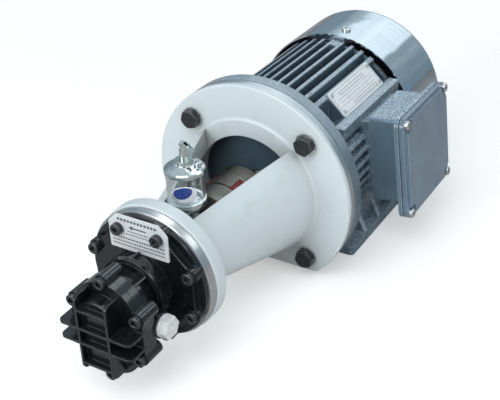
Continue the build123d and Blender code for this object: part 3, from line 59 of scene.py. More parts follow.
# Studio: a white sweep of floor under a pale surround, one broad lamp above and in
# front, one low in front of the pump head, a weak one on the right and a strip behind
# the motor.
def soft_lamp(name, place, aim, size, power, tint):
    """A rectangular area lamp at a place, turned so that its face looks at the aim point."""
    lamp = bpy.data.lights.new(name, "AREA")
    lamp.shape = "RECTANGLE"
    lamp.size, lamp.size_y = size
    lamp.energy = power
    lamp.color = tint
    holder = bpy.data.objects.new(name, lamp)
    holder.location = place
    holder.rotation_euler = (Vector(aim) - Vector(place)).to_track_quat("-Z", "Y").to_euler()
    bpy.context.scene.collection.objects.link(holder)


COOL_WHITE = (0.95, 0.98, 1.0)
PALE_BLUE = (0.88, 0.96, 1.0)
soft_lamp("lamp_above", (0.15, -0.95, 1.40), (0, -0.1, 0.08), (1.1, 0.9), 9.5, COOL_WHITE)
soft_lamp("lamp_front", (-0.55, -1.9, 0.75), (0, -0.2, 0.1), (1.2, 0.9), 14, COOL_WHITE)
soft_lamp("lamp_right", (1.25, -0.35, 0.75), (0, -0.1, 0.08), (0.7, 0.9), 3, COOL_WHITE)
soft_lamp("lamp_behind", (-0.2, 1.25, 0.9), (0, 0, 0.1), (1.4, 0.4), 1.65, PALE_BLUE)


def plug_in(tree, socket, term):
    """Feeds an input from another node's output, or sets it where the term is a plain value."""
    if isinstance(term, bpy.types.NodeSocket):
        tree.links.new(term, socket)
    else:
        socket.default_value = term


def feed(tree, node, **terms):
    """Feeds a node's inputs by their names, with _ for each space."""
    for label, term in terms.items():
        plug_in(tree, node.inputs[label.replace("_", " ")], term)


def put(tree, kind, **terms):
    """Adds a node: each term goes to the input of that name, or to the node's own setting."""
    node = tree.nodes.new("ShaderNode" + kind)
    for label, term in terms.items():
        if label.replace("_", " ") in node.inputs:
            feed(tree, node, **{label: term})
        else:
            setattr(node, label, term)
    return node


def calc(tree, operation, *terms, **settings):
    """One step of sums over outputs and numbers: returns its result."""
    step = put(tree, "Math", operation=operation, **settings)
    for socket, term in zip(step.inputs, terms):
        plug_in(tree, socket, term)
    return step.outputs[0]


def times(tree, first, second):
    """The product of two values, such as a mask that is cut by another."""
    return calc(tree, "MULTIPLY", first, second)


def swing(tree, value, middle, share, base):
    """The base plus a share of what the value has over its middle."""
    return calc(tree, "MULTIPLY_ADD", calc(tree, "SUBTRACT", value, middle), share, base)


def vector_calc(tree, operation, *terms):
    """One step of sums over places and directions: returns a vector, or a length as a value."""
    step = put(tree, "VectorMath", operation=operation)
    for socket, term in zip(step.inputs, terms):
        plug_in(tree, socket, term)
    plain = operation in ("DISTANCE", "LENGTH", "DOT_PRODUCT")
    return step.outputs["Value" if plain else "Vector"]


def between(tree, value, low, high, start=0.0, end=1.0):
    """Maps a value from low..high to start..end, held at both ends."""
    return put(tree, "MapRange", Value=value, From_Min=low, From_Max=high,
               To_Min=start, To_Max=end).outputs[0]


def mixed(tree, share, first, second):
    """The first colour, with a share of the second mixed in."""
    mix = put(tree, "Mix", data_type="RGBA")
    for socket, term in zip((mix.inputs[0], mix.inputs[6], mix.inputs[7]), (share, first, second)):
        plug_in(tree, socket, term)
    return mix.outputs[2]


def own_place(tree):
    """The point of the piece that is being coloured, in the unit's own frame."""
    return put(tree, "TexCoord").outputs["Object"]


def noise(tree, scale, detail=2.0, roughness=0.5, vector=None):
    """Cloudy noise from 0 to 1 over the piece's own coordinates, or over a given vector."""
    return put(tree, "TexNoise", Vector=vector or own_place(tree), Scale=scale, Detail=detail,
               Roughness=roughness).outputs[0]


# What bright surfaces mirror: a hall that is dim and bluish near the floor and light above,
# in soft uneven bands that run the shaft's way, with two windows high beyond the motor and
# two dim doorways below them. Everything else sees an even pale surround.
world = bpy.data.worlds.new("surround")
world.use_nodes = True
sky = world.node_tree
rays = put(sky, "LightPath").outputs
outward = put(sky, "TexCoord").outputs["Generated"]
patches = noise(sky, 2.6, 2.0, 0.5, outward)
bands = noise(sky, 1.3, 4.0, 0.65, vector_calc(sky, "MULTIPLY", outward, (7.0, 0.5, 7.0)))
level = swing(sky, patches, 0.5, 0.7, put(sky, "SeparateXYZ", Vector=outward).outputs[2])
level = swing(sky, bands, 0.5, 1.5, level)
hall = mixed(sky, between(sky, level, 0.28, 0.78), (0.24, 0.34, 0.41, 1), (0.64, 0.75, 0.83, 1))
WINDOW_LIGHT = (2.8, 3.05, 3.2, 1)
DOORWAY_DUSK = (0.34, 0.45, 0.53, 1)
for way, clear_to, faded_at, tone in (((0.60, 0.50, 0.62), 0.17, 0.25, WINDOW_LIGHT),
                                      ((-0.12, 0.56, 0.82), 0.17, 0.25, WINDOW_LIGHT),
                                      ((-0.32, 0.83, 0.45), 0.04, 0.14, DOORWAY_DUSK),
                                      ((0.20, 0.83, 0.52), 0.00, 0.13, DOORWAY_DUSK)):
    apart = vector_calc(sky, "DISTANCE", outward, way)
    hall = mixed(sky, between(sky, apart, clear_to, faded_at, 1.0, 0.0), hall, tone)
looked_at = calc(sky, "ADD", rays["Is Camera Ray"], rays["Is Transmission Ray"])
seen = mixed(sky, looked_at, (0.86, 0.93, 1.0, 1), (1.0, 1.0, 1.0, 1))
seen = mixed(sky, rays["Is Glossy Ray"], seen, hall)
looked_at = calc(sky, "ADD", looked_at, rays["Is Glossy Ray"], use_clamp=True)
# The surround lights the object at LIGHTING. The camera, glass and shine see it at BACKGROUND.
LIGHTING, BACKGROUND = 0.44, 1.0
feed(sky, sky.nodes["Background"], Color=seen,
     Strength=calc(sky, "MULTIPLY_ADD", looked_at, BACKGROUND - LIGHTING, LIGHTING))
bpy.context.scene.world = world


def new_finish(name, **plain):
    """A finish with plain values on the shader's sockets: returns it, its nodes and its shader."""
    finish = bpy.data.materials.new(name)
    finish.use_nodes = True
    shader = finish.node_tree.nodes["Principled BSDF"]
    feed(finish.node_tree, shader, **plain)
    return finish, finish.node_tree, shader


# The floor's own glow makes up for the lamps' fall with distance: it grows from near to far.
FLOOR_REACH = 6
floor_mesh = bpy.data.meshes.new("floor")
floor_mesh.from_pydata(
    [(x * FLOOR_REACH, y * FLOOR_REACH, 0) for x, y in ((-1, -1), (1, -1), (1, 1), (-1, 1))],
    [], [(0, 1, 2, 3)])
floor = bpy.data.objects.new("floor", floor_mesh)
bpy.context.scene.collection.objects.link(floor)
floor_finish, tree, shader = new_finish("floor_sweep", Roughness=0.95, Emission_Color=(1, 1, 1, 1))
rays = put(tree, "LightPath").outputs
glow = between(tree, vector_calc(tree, "LENGTH", own_place(tree)), 0.5, 2.6, 0.36, 0.62)
feed(tree, shader,
     Base_Color=mixed(tree, rays["Is Glossy Ray"], (0.90, 0.88, 0.86, 1), (0.50, 0.49, 0.48, 1)),
     Emission_Strength=times(tree, rays["Is Camera Ray"], glow))
floor_mesh.materials.append(floor_finish)


# Motor frame, its end shields and its feet: aluminium castings under one sprayed
# coat of blue-grey machine paint. The casting's grain shows through it, and it is
# lighter along the edges of the fins and rails: partly rubbed thin, partly a painted highlight.
def dress(finish, *names):
    """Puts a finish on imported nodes, in every material slot that they have."""
    for name in names:
        slots = nodes[name].data.materials
        for i in range(len(slots)):
            slots[i] = finish


def upward(tree, low, high):
    """A mask of the faces that look up, growing as the normal's height goes from low to high."""
    normal = put(tree, "NewGeometry").outputs["Normal"]
    return between(tree, put(tree, "SeparateXYZ", Vector=normal).outputs[2], low, high)


SHAFT_Z = 0.080


def at_shaft(tree):
    """A point's place at the shaft's line: its X, its Y along the line, its height over it."""
    spot = put(tree, "SeparateXYZ", Vector=own_place(tree)).outputs
    return spot[0], spot[1], calc(tree, "SUBTRACT", spot[2], SHAFT_Z)


def off_shaft(tree, aside, above):
    """How far a point lies from the shaft's line: the root of aside squared plus above squared."""
    squares = calc(tree, "ADD", times(tree, aside, aside), times(tree, above, above))
    return calc(tree, "SQRT", squares)


def new_effect(name, takes, gives):
    """A shader group with named sockets: returns it, its input node's outputs, and its end node."""
    effect = bpy.data.node_groups.new(name, "ShaderNodeTree")
    for label, start in takes.items():
        kind = "NodeSocketColor" if isinstance(start, tuple) else "NodeSocketFloat"
        socket = effect.interface.new_socket(label, in_out="INPUT", socket_type=kind)
        socket.default_value = start
    for label in gives:
        kind = "NodeSocketColor" if label == "Colour" else "NodeSocketFloat"
        effect.interface.new_socket(label, in_out="OUTPUT", socket_type=kind)
    return effect, effect.nodes.new("NodeGroupInput").outputs, effect.nodes.new("NodeGroupOutput")


def use_effect(tree, effect, **terms):
    """Places a group in a finish with its own values: returns its outputs."""
    node = tree.nodes.new("ShaderNodeGroup")
    node.node_tree = effect
    feed(tree, node, **terms)
    return node.outputs


def bumped(tree, height, depth, **normal):
    """The normal of a surface whose height, from 0 to 1, stands for that depth."""
    return put(tree, "Bump", Height=height, Distance=depth, Strength=1.0, **normal).outputs[0]


def softened(tree, radius):
    """The normal that every sharp edge would have, were it rounded to that radius."""
    return put(tree, "Bevel", Radius=radius, samples=6).outputs[0]


def finish_with(tree, shader, depth, effect, rounding=0.0):
    """Feeds a group's colour and roughness to the shader, and its height through a bump.
    With a rounding, edges and the coat over them also shine as if they had that radius."""
    feed(tree, shader, Base_Color=effect["Colour"], Roughness=effect["Roughness"])
    normal = {}
    if rounding:
        normal["Normal"] = softened(tree, rounding)
        feed(tree, shader, Coat_Normal=normal["Normal"])
    feed(tree, shader, Normal=bumped(tree, effect["Height"], depth, **normal))


def lay_over(tree, shader, mask, colour):
    """Lays a colour over the one that the shader already has, where the mask says."""
    under = shader.inputs["Base Color"].links[0].from_socket
    feed(tree, shader, Base_Color=mixed(tree, mask, under, colour))


# edge_lean: how far the rounded normal near an edge leans from the face's own, broken up by noise.
edge_lean, taken, given = new_effect("edge_lean", {"Width": 0.001, "Patches": 160.0}, ["Mask"])
rounded = put(edge_lean, "Bevel", Radius=taken["Width"], samples=4).outputs[0]
facing = vector_calc(edge_lean, "DOT_PRODUCT", rounded,
                     put(edge_lean, "NewGeometry").outputs["Normal"])
lean = between(edge_lean, calc(edge_lean, "SUBTRACT", 1.0, facing), 0.01, 0.2)
patches = between(edge_lean, noise(edge_lean, taken["Patches"], 3), 0.3, 0.6, 0.35, 1.0)
feed(edge_lean, given, Mask=times(edge_lean, lean, patches))

# sprayed_coat: paint over a grainy casting. Colour is the coat, lighter at the edges, where it
# is partly rubbed and partly given a painted highlight, lighter on upward faces, with flecks of
# overspray and a painted highlight of the light from above, and darker in soft clouds. Height
# is the casting's grain and the fine peel of the spray.
CLOUDED_COAT = (0.03, 0.045, 0.055, 1)
sprayed_coat, taken, given = new_effect(
    "sprayed_coat", {"Coat": (0.1, 0.1, 0.1, 1), "Rubbed": (0.4, 0.4, 0.4, 1), "Grain": 420.0,
                     "Gloss": 0.3, "Edge": 0.001, "Overspray": 0.55},
    ["Colour", "Roughness", "Height"])
grain = noise(sprayed_coat, taken["Grain"], 3, 0.55)
clouds = noise(sprayed_coat, 24, 4, 0.6)
# edge_band: paler edges, partly rubbed paint and partly a painted highlight where a rounded edge
# would catch the light.
edge_band = use_effect(sprayed_coat, edge_lean, Width=taken["Edge"])["Mask"]
# Pale flecks on upward faces: partly overspray, partly a painted highlight of the light from above.
lift = times(sprayed_coat, upward(sprayed_coat, 0.6, 0.98), taken["Overspray"])
flecks = noise(sprayed_coat, times(sprayed_coat, taken["Grain"], 1.6), 2, 0.6)
flecks = between(sprayed_coat, flecks, 0.44, 0.62, 0.0, 1.2)
cloudy = between(sprayed_coat, clouds, 0.35, 0.75, 0.0, 0.35)
coat = mixed(sprayed_coat, cloudy, taken["Coat"], CLOUDED_COAT)
coat = mixed(sprayed_coat, times(sprayed_coat, lift, flecks), coat, taken["Rubbed"])
coat = mixed(sprayed_coat, times(sprayed_coat, edge_band, 0.75), coat, taken["Rubbed"])
feed(sprayed_coat, given, Colour=coat,
     Roughness=swing(sprayed_coat, clouds, 0.5, 0.25, taken["Gloss"]),
     Height=calc(sprayed_coat, "MULTIPLY_ADD", noise(sprayed_coat, 1500, 1), 0.25,
                 times(sprayed_coat, grain, 0.9)))

motor_paint, tree, shader = new_finish(
    "motor_paint", Specular_IOR_Level=0.6, Coat_Weight=0.35, Coat_Roughness=0.12)
finish_with(tree, shader, 0.00032, use_effect(
    tree, sprayed_coat, Coat=(0.075, 0.120, 0.155, 1), Rubbed=(0.54, 0.67, 0.78, 1), Grain=520,
    Gloss=0.26, Edge=0.0011, Overspray=0.75), 0.0007)
# The fins' tips, furthest from the shaft, are painted pale, most where they face up: a painted
# highlight of the light from above.
FIN_TIPS_FROM, FIN_TIPS_FULL = 0.0800, 0.0812
aside, _, above = at_shaft(tree)
fin_tip_highlight = between(tree, off_shaft(tree, aside, above), FIN_TIPS_FROM, FIN_TIPS_FULL)
fin_tip_highlight = times(tree, fin_tip_highlight, between(tree, noise(tree, 210, 4, 0.6), 0.35, 0.6, 0.15, 0.75))
lay_over(tree, shader, times(tree, fin_tip_highlight, upward(tree, -0.3, 0.4)), (0.45, 0.56, 0.64, 1))
dress(motor_paint, "motor_housing", "motor_feet", "rear_end_shield")

shield_paint, tree, shader = new_finish(
    "shield_paint", Specular_IOR_Level=0.6, Coat_Weight=0.4, Coat_Roughness=0.1)
finish_with(tree, shader, 0.00006, use_effect(
    tree, sprayed_coat, Coat=(0.085, 0.130, 0.165, 1), Rubbed=(0.54, 0.65, 0.74, 1), Grain=380,
    Gloss=0.24, Edge=0.0010, Overspray=0.30), 0.0009)
# Upward faces of the turned rim are painted paler, unevenly: a painted highlight of the light from
# above.
rim_top_highlight = times(tree, upward(tree, 0.1, 0.9), between(tree, noise(tree, 30, 3), 0.3, 0.7, 0.30, 0.62))
lay_over(tree, shader, rim_top_highlight, (0.50, 0.60, 0.67, 1))
dress(shield_paint, "drive_end_shield")


# Screws of the feet, shields, cowl and box: zinc-plated steel, bright with a faint
# bloom and a few dull spots, and rubbed at the rims of their heads.
plated_bloom, taken, given = new_effect(
    "plated_bloom",
    {"Plating": (0.6, 0.6, 0.6, 1), "Dull": (0.3, 0.3, 0.3, 1), "Gloss": 0.3},
    ["Colour", "Roughness", "Height"])
bloom = noise(plated_bloom, 260, 4, 0.65)
worn = use_effect(plated_bloom, edge_lean, Width=0.0004)["Mask"]
spots = between(plated_bloom, bloom, 0.48, 0.72, 0.0, 0.8)
plating = mixed(plated_bloom, spots, taken["Plating"], taken["Dull"])
feed(plated_bloom, given, Colour=mixed(plated_bloom, worn, plating, (0.8, 0.8, 0.8, 1)),
     Roughness=swing(plated_bloom, bloom, 0.5, 0.5, taken["Gloss"]),
     Height=noise(plated_bloom, 1800, 2))

zinc, tree, shader = new_finish("zinc_steel", Metallic=1.0)
finish_with(tree, shader, 0.00004, use_effect(
    tree, plated_bloom, Plating=(0.68, 0.69, 0.69, 1), Dull=(0.42, 0.42, 0.4, 1), Gloss=0.28))
dress(zinc, "foot_screws", "end_shield_screws", "cowl_screws", "terminal_box_screws",
      "flange_washers")


# Stator and rotor: stacked laminations with copper end turns under varnish. They
# are closed in by the frame and show only when it is opened.
def stacked(name, tint, gap):
    """Sheet steel edges: dark lines across Y, one every gap, over a mottled grey."""
    finish, tree, shader = new_finish(name, Metallic=0.9)
    along = put(tree, "SeparateXYZ", Vector=own_place(tree)).outputs[1]
    step = calc(tree, "FRACT", calc(tree, "DIVIDE", along, gap))
    line = between(tree, calc(tree, "ABSOLUTE", calc(tree, "SUBTRACT", step, 0.5)), 0.3, 0.5)
    shade = tuple(0.55 * c for c in tint[:3]) + (1,)
    colour = mixed(tree, between(tree, noise(tree, 90, 4), 0.3, 0.7), tint, shade)
    feed(tree, shader, Base_Color=mixed(tree, line, colour, (0.02, 0.02, 0.02, 1)),
         Roughness=between(tree, noise(tree, 140, 3), 0.3, 0.7, 0.35, 0.6),
         Normal=bumped(tree, line, 0.0001))
    return finish


dress(stacked("core_steel", (0.24, 0.24, 0.25, 1), 0.001), "stator_core", "rotor_core")
dress(stacked("copper_turns", (0.5, 0.2, 0.09, 1), 0.0016), "stator_windings")


# Shafts, bearings and gears: steel, turned or ground round the shaft's line, so that
# fine rings run around them, with a film of oil that evens their shine.
turned_marks, taken, given = new_effect(
    "turned_marks",
    {"Fineness": 1500.0, "Bright": (0.7, 0.7, 0.7, 1), "Groove": (0.4, 0.4, 0.4, 1), "Gloss": 0.25},
    ["Colour", "Roughness", "Height"])
# The marks depend on the distance from the shaft's line and on Y, and hardly on the angle:
# the angle only moves the noise on a circle of RING_DRIFT.
RING_DRIFT = 0.0012
aside, along, above = at_shaft(turned_marks)
reach = off_shaft(turned_marks, aside, above)
steady = calc(turned_marks, "MAXIMUM", reach, 0.001)
ring_place = put(
    turned_marks, "CombineXYZ", X=calc(turned_marks, "MULTIPLY_ADD", along, 1.31, reach),
    Y=times(turned_marks, calc(turned_marks, "DIVIDE", aside, steady), RING_DRIFT),
    Z=times(turned_marks, calc(turned_marks, "DIVIDE", above, steady), RING_DRIFT)).outputs[0]
fine = noise(turned_marks, taken["Fineness"], 3, 0.6, ring_place)
broad = noise(turned_marks, 190, 3, 0.5, ring_place)
tone = calc(turned_marks, "ADD", times(turned_marks, fine, 0.6), times(turned_marks, broad, 0.4))
grooved = between(turned_marks, tone, 0.36, 0.64)
feed(turned_marks, given, Colour=mixed(turned_marks, grooved, taken["Bright"], taken["Groove"]),
     Roughness=swing(turned_marks, tone, 0.5, 0.35, taken["Gloss"]), Height=fine)

ground_steel, tree, shader = new_finish("ground_steel", Metallic=1.0)
finish_with(tree, shader, 0.00003, use_effect(
    tree, turned_marks, Fineness=2200, Bright=(0.66, 0.66, 0.65, 1),
    Groove=(0.48, 0.48, 0.47, 1), Gloss=0.24))
dress(ground_steel, "motor_shaft", "shaft_key", "motor_bearing_outer_rings",
      "motor_bearing_inner_rings", "pump_shaft", "pump_bearing_outer_rings",
      "pump_bearing_inner_rings", "drive_gear", "driven_gear", "driven_shaft")
bronze, tree, shader = new_finish("bored_bronze", Metallic=1.0)
finish_with(tree, shader, 0.00003, use_effect(
    tree, turned_marks, Fineness=1800, Bright=(0.62, 0.42, 0.2, 1),
    Groove=(0.42, 0.26, 0.11, 1), Gloss=0.32))
dress(bronze, "gear_bushes", "terminal_studs")


# Cooling fan, cable gland, terminal block and rubber parts: moulded pieces, dull and
# slightly mottled, with a fine skin and a little dust on what looks up.
moulded_skin, taken, given = new_effect(
    "moulded_skin",
    {"Body": (0.03, 0.03, 0.03, 1), "Dust": (0.3, 0.3, 0.28, 1), "Skin": 900.0, "Gloss": 0.5},
    ["Colour", "Roughness", "Height"])
mottle = noise(moulded_skin, 60, 4, 0.6)
specks = between(moulded_skin, noise(moulded_skin, 380, 4, 0.7), 0.45, 0.75, 0.0, 0.3)
dusty = times(moulded_skin, upward(moulded_skin, 0.3, 1.0), specks)
darker = between(moulded_skin, mottle, 0.3, 0.7, 0.0, 0.3)
body = mixed(moulded_skin, darker, taken["Body"], (0.01, 0.01, 0.01, 1))
feed(moulded_skin, given, Colour=mixed(moulded_skin, dusty, body, taken["Dust"]),
     Roughness=swing(moulded_skin, mottle, 0.5, 0.3, taken["Gloss"]),
     Height=noise(moulded_skin, taken["Skin"], 3))

for name, body, skin, gloss, pieces in (
        ("fan_plastic", (0.03, 0.031, 0.034, 1), 1100, 0.45, ["cooling_fan", "cable_gland"]),
        ("seal_rubber", (0.018, 0.018, 0.018, 1), 1700, 0.6,
         ["terminal_box_gasket", "shaft_seal", "housing_seal"]),
        ("block_plastic", (0.17, 0.08, 0.045, 1), 800, 0.35, ["terminal_block"])):
    moulded, tree, shader = new_finish(name)
    finish_with(tree, shader, 0.00005, use_effect(
        tree, moulded_skin, Body=body, Skin=skin, Gloss=gloss))
    dress(moulded, *pieces)


# Fan cowl: a cup drawn from steel sheet and polished on a lathe. Fine lines run round
# it, and long soft waves in the sheet bend what it mirrors.
def across_marks(tree):
    """The way that the shine of turned metal stretches: along the surface, square to the marks."""
    aside, _, above = at_shaft(tree)
    around = put(tree, "CombineXYZ", X=above, Z=times(tree, aside, -1.0)).outputs[0]
    normal = put(tree, "NewGeometry").outputs["Normal"]
    return vector_calc(tree, "CROSS_PRODUCT", normal, around)


cowl_steel, tree, shader = new_finish("polished_cowl", Metallic=1.0, Anisotropic=0.75)
rings = use_effect(
    tree, turned_marks, Fineness=2600, Bright=(0.60, 0.65, 0.68, 1),
    Groove=(0.53, 0.58, 0.61, 1), Gloss=0.12)
waves = bumped(tree, noise(tree, 14, 2, 0.5), 0.0016)
feed(tree, shader, Base_Color=rings["Colour"], Roughness=rings["Roughness"],
     Normal=bumped(tree, rings["Height"], 0.000005, Normal=waves), Tangent=across_marks(tree))
dress(cowl_steel, "fan_cowl")


# Terminal box: pressure-cast aluminium in the motor's own paint. The body keeps the
# mould's rough skin on top, and the lid is smoother and thickly sprayed.
box_paint, tree, shader = new_finish(
    "box_paint", Specular_IOR_Level=0.6, Coat_Weight=0.5, Coat_Roughness=0.08)
finish_with(tree, shader, 0.00030, use_effect(
    tree, sprayed_coat, Coat=(0.150, 0.232, 0.295, 1), Rubbed=(0.62, 0.77, 0.90, 1), Grain=480,
    Gloss=0.22, Edge=0.0014, Overspray=0.85), 0.0010)
dress(box_paint, "terminal_box_base")
lid_paint, tree, shader = new_finish(
    "lid_paint", Specular_IOR_Level=0.6, Coat_Weight=0.5, Coat_Roughness=0.08)
finish_with(tree, shader, 0.00006, use_effect(
    tree, sprayed_coat, Coat=(0.148, 0.220, 0.290, 1), Rubbed=(0.50, 0.62, 0.72, 1), Grain=240,
    Gloss=0.20, Edge=0.0012, Overspray=0.20), 0.0012)
dress(lid_paint, "terminal_box_cover")


# Rating plate of the motor: thin aluminium, clear over silver, held by four rivets.
# Its printing is left as an empty form: a border, two ruled boxes and plain lines.
def side_quads(starts, count):
    """Faces that join each ring of count points to the next. With s a ring's first point from
    starts, point j makes the face (s + j, s + count + j, s + count + j + 1, s + j + 1), and the
    last point of a ring is followed by its first."""
    j = np.arange(count)
    near = starts[:, None] + j
    next_near = starts[:, None] + (j + 1) % count
    quads = np.stack([near, near + count, next_near + count, next_near], axis=-1)
    return quads.reshape(-1, 4)


def new_piece(name, points, faces):
    """A piece at the origin, with its place in its mesh."""
    mesh = bpy.data.meshes.new(name)
    mesh.from_pydata(points.tolist(), [], faces)
    mesh.update()
    piece = bpy.data.objects.new(name, mesh)
    bpy.context.scene.collection.objects.link(piece)
    return piece


def strips(name, marks, thickness, carry):
    """Thin raised strips. Each mark is (stations along u, middle v, half widths at the stations).
    At every station a rectangle of profile (v - h, 0), (v + h, 0), (v + h, t), (v - h, t) is set
    out, four faces join one rectangle to the next, and two close the ends. carry turns (u, v, w)
    into the frame."""
    side = np.array([-1.0, 1.0, 1.0, -1.0])
    level = np.array([0.0, 0.0, 1.0, 1.0]) * thickness
    corners, faces, count = [], [], 0
    for stations, middle, half in marks:
        u = np.asarray(stations, float)
        h = np.asarray(half, float)
        ring = np.stack([np.broadcast_to(u[:, None], (len(u), 4)), middle + h[:, None] * side,
                         np.broadcast_to(level, (len(u), 4))], axis=-1)
        corners.append(ring.reshape(-1, 3))
        last = 4 * len(u) - 1
        ends = np.array([[0, 1, 2, 3], [last, last - 1, last - 2, last - 3]])
        faces.append(np.concatenate([side_quads(np.arange(len(u) - 1) * 4, 4), ends]) + count)
        count += 4 * len(u)
    placed = np.concatenate(corners) @ np.asarray(carry)[:3, :3].T + np.asarray(carry)[:3, 3]
    return new_piece(name, placed, np.concatenate(faces).tolist())


def box_marks(u0, v0, u1, v1, line):
    """The four strips that outline a rectangle, each line wide."""
    half = line / 2
    return [([u0, u1], v0, [half, half]), ([u0, u1], v1, [half, half]),
            ([u0 - half, u0 + half], (v0 + v1) / 2, [(v1 - v0) / 2 + half] * 2),
            ([u1 - half, u1 + half], (v0 + v1) / 2, [(v1 - v0) / 2 + half] * 2)]


PLATE_LEAN = math.radians(46)
PLATE_FACE = 0.0818
PLATE_RISE = 0.006
PLATE_MIDDLE_Y = -0.0015
PRINT_HEIGHT = 0.00006
plate_out = Vector((math.cos(PLATE_LEAN), 0, math.sin(PLATE_LEAN)))
plate_up = Vector((-math.sin(PLATE_LEAN), 0, math.cos(PLATE_LEAN)))
plate_carry = Matrix((
    (0, plate_up.x, plate_out.x, PLATE_FACE * plate_out.x + PLATE_RISE * plate_up.x),
    (1, 0, 0, PLATE_MIDDLE_Y),
    (0, plate_up.z, plate_out.z, SHAFT_Z + PLATE_FACE * plate_out.z + PLATE_RISE * plate_up.z),
))
RULE_HALF = 0.00012
form = box_marks(-0.0390, -0.0112, 0.0390, 0.0112, 0.0003)
form += box_marks(-0.0255, 0.0050, 0.0235, 0.0078, 0.0004)
form += box_marks(-0.0150, -0.0098, 0.0330, -0.0075, 0.0004)
form += [([-0.034, 0.034], v, [RULE_HALF] * 2) for v in (0.0022, -0.0012, -0.0046)]
form += [([u - RULE_HALF, u + RULE_HALF], -0.0012, [0.0034] * 2) for u in (-0.018, 0.002, 0.020)]
plate_form = strips("rating_plate_form", form, PRINT_HEIGHT, plate_carry)
ink, tree, shader = new_finish("plate_ink")
faded = between(tree, noise(tree, 700, 3), 0.35, 0.7)
feed(tree, shader, Base_Color=mixed(tree, faded, (0.03, 0.035, 0.04, 1), (0.12, 0.13, 0.14, 1)),
     Roughness=between(tree, noise(tree, 300, 2), 0.3, 0.7, 0.35, 0.6))
plate_form.data.materials.append(ink)
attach(plate_form, "pump_unit")

# satin_sheet: rolled metal, with fine lines along Y and soil from handling.
satin_sheet, taken, given = new_effect(
    "satin_sheet", {"Sheet": (0.6, 0.6, 0.6, 1), "Soil": (0.3, 0.3, 0.3, 1), "Gloss": 0.4},
    ["Colour", "Roughness", "Height"])
stretched = put(satin_sheet, "Mapping", Vector=own_place(satin_sheet), Scale=(1.0, 0.03, 1.0))
rolled = noise(satin_sheet, 1400, 2, 0.5, stretched.outputs[0])
soil = between(satin_sheet, noise(satin_sheet, 130, 5, 0.7), 0.52, 0.78, 0.0, 0.45)
sheet = mixed(satin_sheet, soil, taken["Sheet"], taken["Soil"])
lined = between(satin_sheet, rolled, 0.4, 0.7, 0.0, 0.3)
feed(satin_sheet, given, Colour=mixed(satin_sheet, lined, sheet, taken["Soil"]),
     Roughness=swing(satin_sheet, rolled, 0.5, 0.3, taken["Gloss"]), Height=rolled)

rating_plate, tree, shader = new_finish("rating_plate", Metallic=0.05)
finish_with(tree, shader, 0.00002, use_effect(
    tree, satin_sheet, Sheet=(0.93, 0.96, 0.97, 1), Soil=(0.78, 0.81, 0.83, 1), Gloss=0.34))
dress(rating_plate, "motor_nameplate")
dress(zinc, "nameplate_rivets")


# Bell housing: one iron casting, filled, rubbed down and sprayed pale grey. The faces
# that meet the motor and the ring are turned bare after painting, so their rims shine.
# It has smears and hairlines of dirt, and shade is painted in a dark dirt colour into its
# corners and hollows, round the root of the cone and under the bolts.
wiped_enamel, taken, given = new_effect(
    "wiped_enamel",
    {"Enamel": (0.6, 0.6, 0.6, 1), "Dirt": (0.25, 0.23, 0.2, 1), "Gloss": 0.35},
    ["Colour", "Roughness", "Height"])


def occlusion_shade(reach, open_to, share):
    """A mask of what lies in corners, for painted shade: a share where the surroundings within
    reach close it in.
    """
    openness = put(wiped_enamel, "AmbientOcclusion", samples=6, Distance=reach).outputs["AO"]
    return between(wiped_enamel, openness, open_to, 0.85, share, 0.0)


clouds = noise(wiped_enamel, 13, 4, 0.55)
smears = between(wiped_enamel, noise(wiped_enamel, 34, 6, 0.72), 0.56, 0.8, 0.0, 0.35)
# A hairline runs where the noise crosses its middle, and only in a few places.
crossing = calc(wiped_enamel, "SUBTRACT", noise(wiped_enamel, 55, 2, 0.4), 0.5)
crossing = calc(wiped_enamel, "ABSOLUTE", crossing)
hairline = times(wiped_enamel, between(wiped_enamel, crossing, 0.0, 0.0022, 1.0, 0.0),
                 between(wiped_enamel, noise(wiped_enamel, 19, 2), 0.56, 0.62, 0.0, 0.5))
# Painted shade: tight corners darkened in the dirt colour, broken up by noise.
corner_shade = times(wiped_enamel, occlusion_shade(0.007, 0.15, 0.55),
               between(wiped_enamel, noise(wiped_enamel, 120, 4, 0.6), 0.3, 0.7, 0.15, 1.0))
enamel = mixed(wiped_enamel, between(wiped_enamel, clouds, 0.35, 0.7, 0.0, 0.3),
               taken["Enamel"], (0.60, 0.675, 0.71, 1))
# Painted shade: whatever is closed in within 5 cm, such as the inside of the window, is darkened in
# the dirt colour.
enamel = mixed(wiped_enamel, occlusion_shade(0.05, 0.35, 0.6), enamel, taken["Dirt"])
# marks: smears and hairlines of dirt, together with the painted corner shade.
marks = calc(wiped_enamel, "MAXIMUM", calc(wiped_enamel, "MAXIMUM", smears, hairline), corner_shade)
duller = calc(wiped_enamel, "MULTIPLY_ADD", marks, 0.2, taken["Gloss"])
peel = calc(wiped_enamel, "ADD", noise(wiped_enamel, 260, 3),
            times(wiped_enamel, noise(wiped_enamel, 1300, 1), 0.2))
feed(wiped_enamel, given,
     Colour=mixed(wiped_enamel, times(wiped_enamel, marks, 0.6), enamel, taken["Dirt"]),
     Roughness=swing(wiped_enamel, clouds, 0.4, 0.3, duller),
     Height=calc(wiped_enamel, "ADD", times(wiped_enamel, clouds, 3.0), peel))

bell_paint, tree, shader = new_finish(
    "bell_paint", Specular_IOR_Level=0.5, Coat_Weight=0.25, Coat_Roughness=0.18)
enamel = use_effect(tree, wiped_enamel, Enamel=(0.69, 0.755, 0.775, 1),
                    Dirt=(0.27, 0.25, 0.21, 1), Gloss=0.34)
bare = use_effect(tree, turned_marks, Fineness=1300, Bright=(0.72, 0.74, 0.75, 1),
                  Groove=(0.5, 0.52, 0.53, 1), Gloss=0.3)
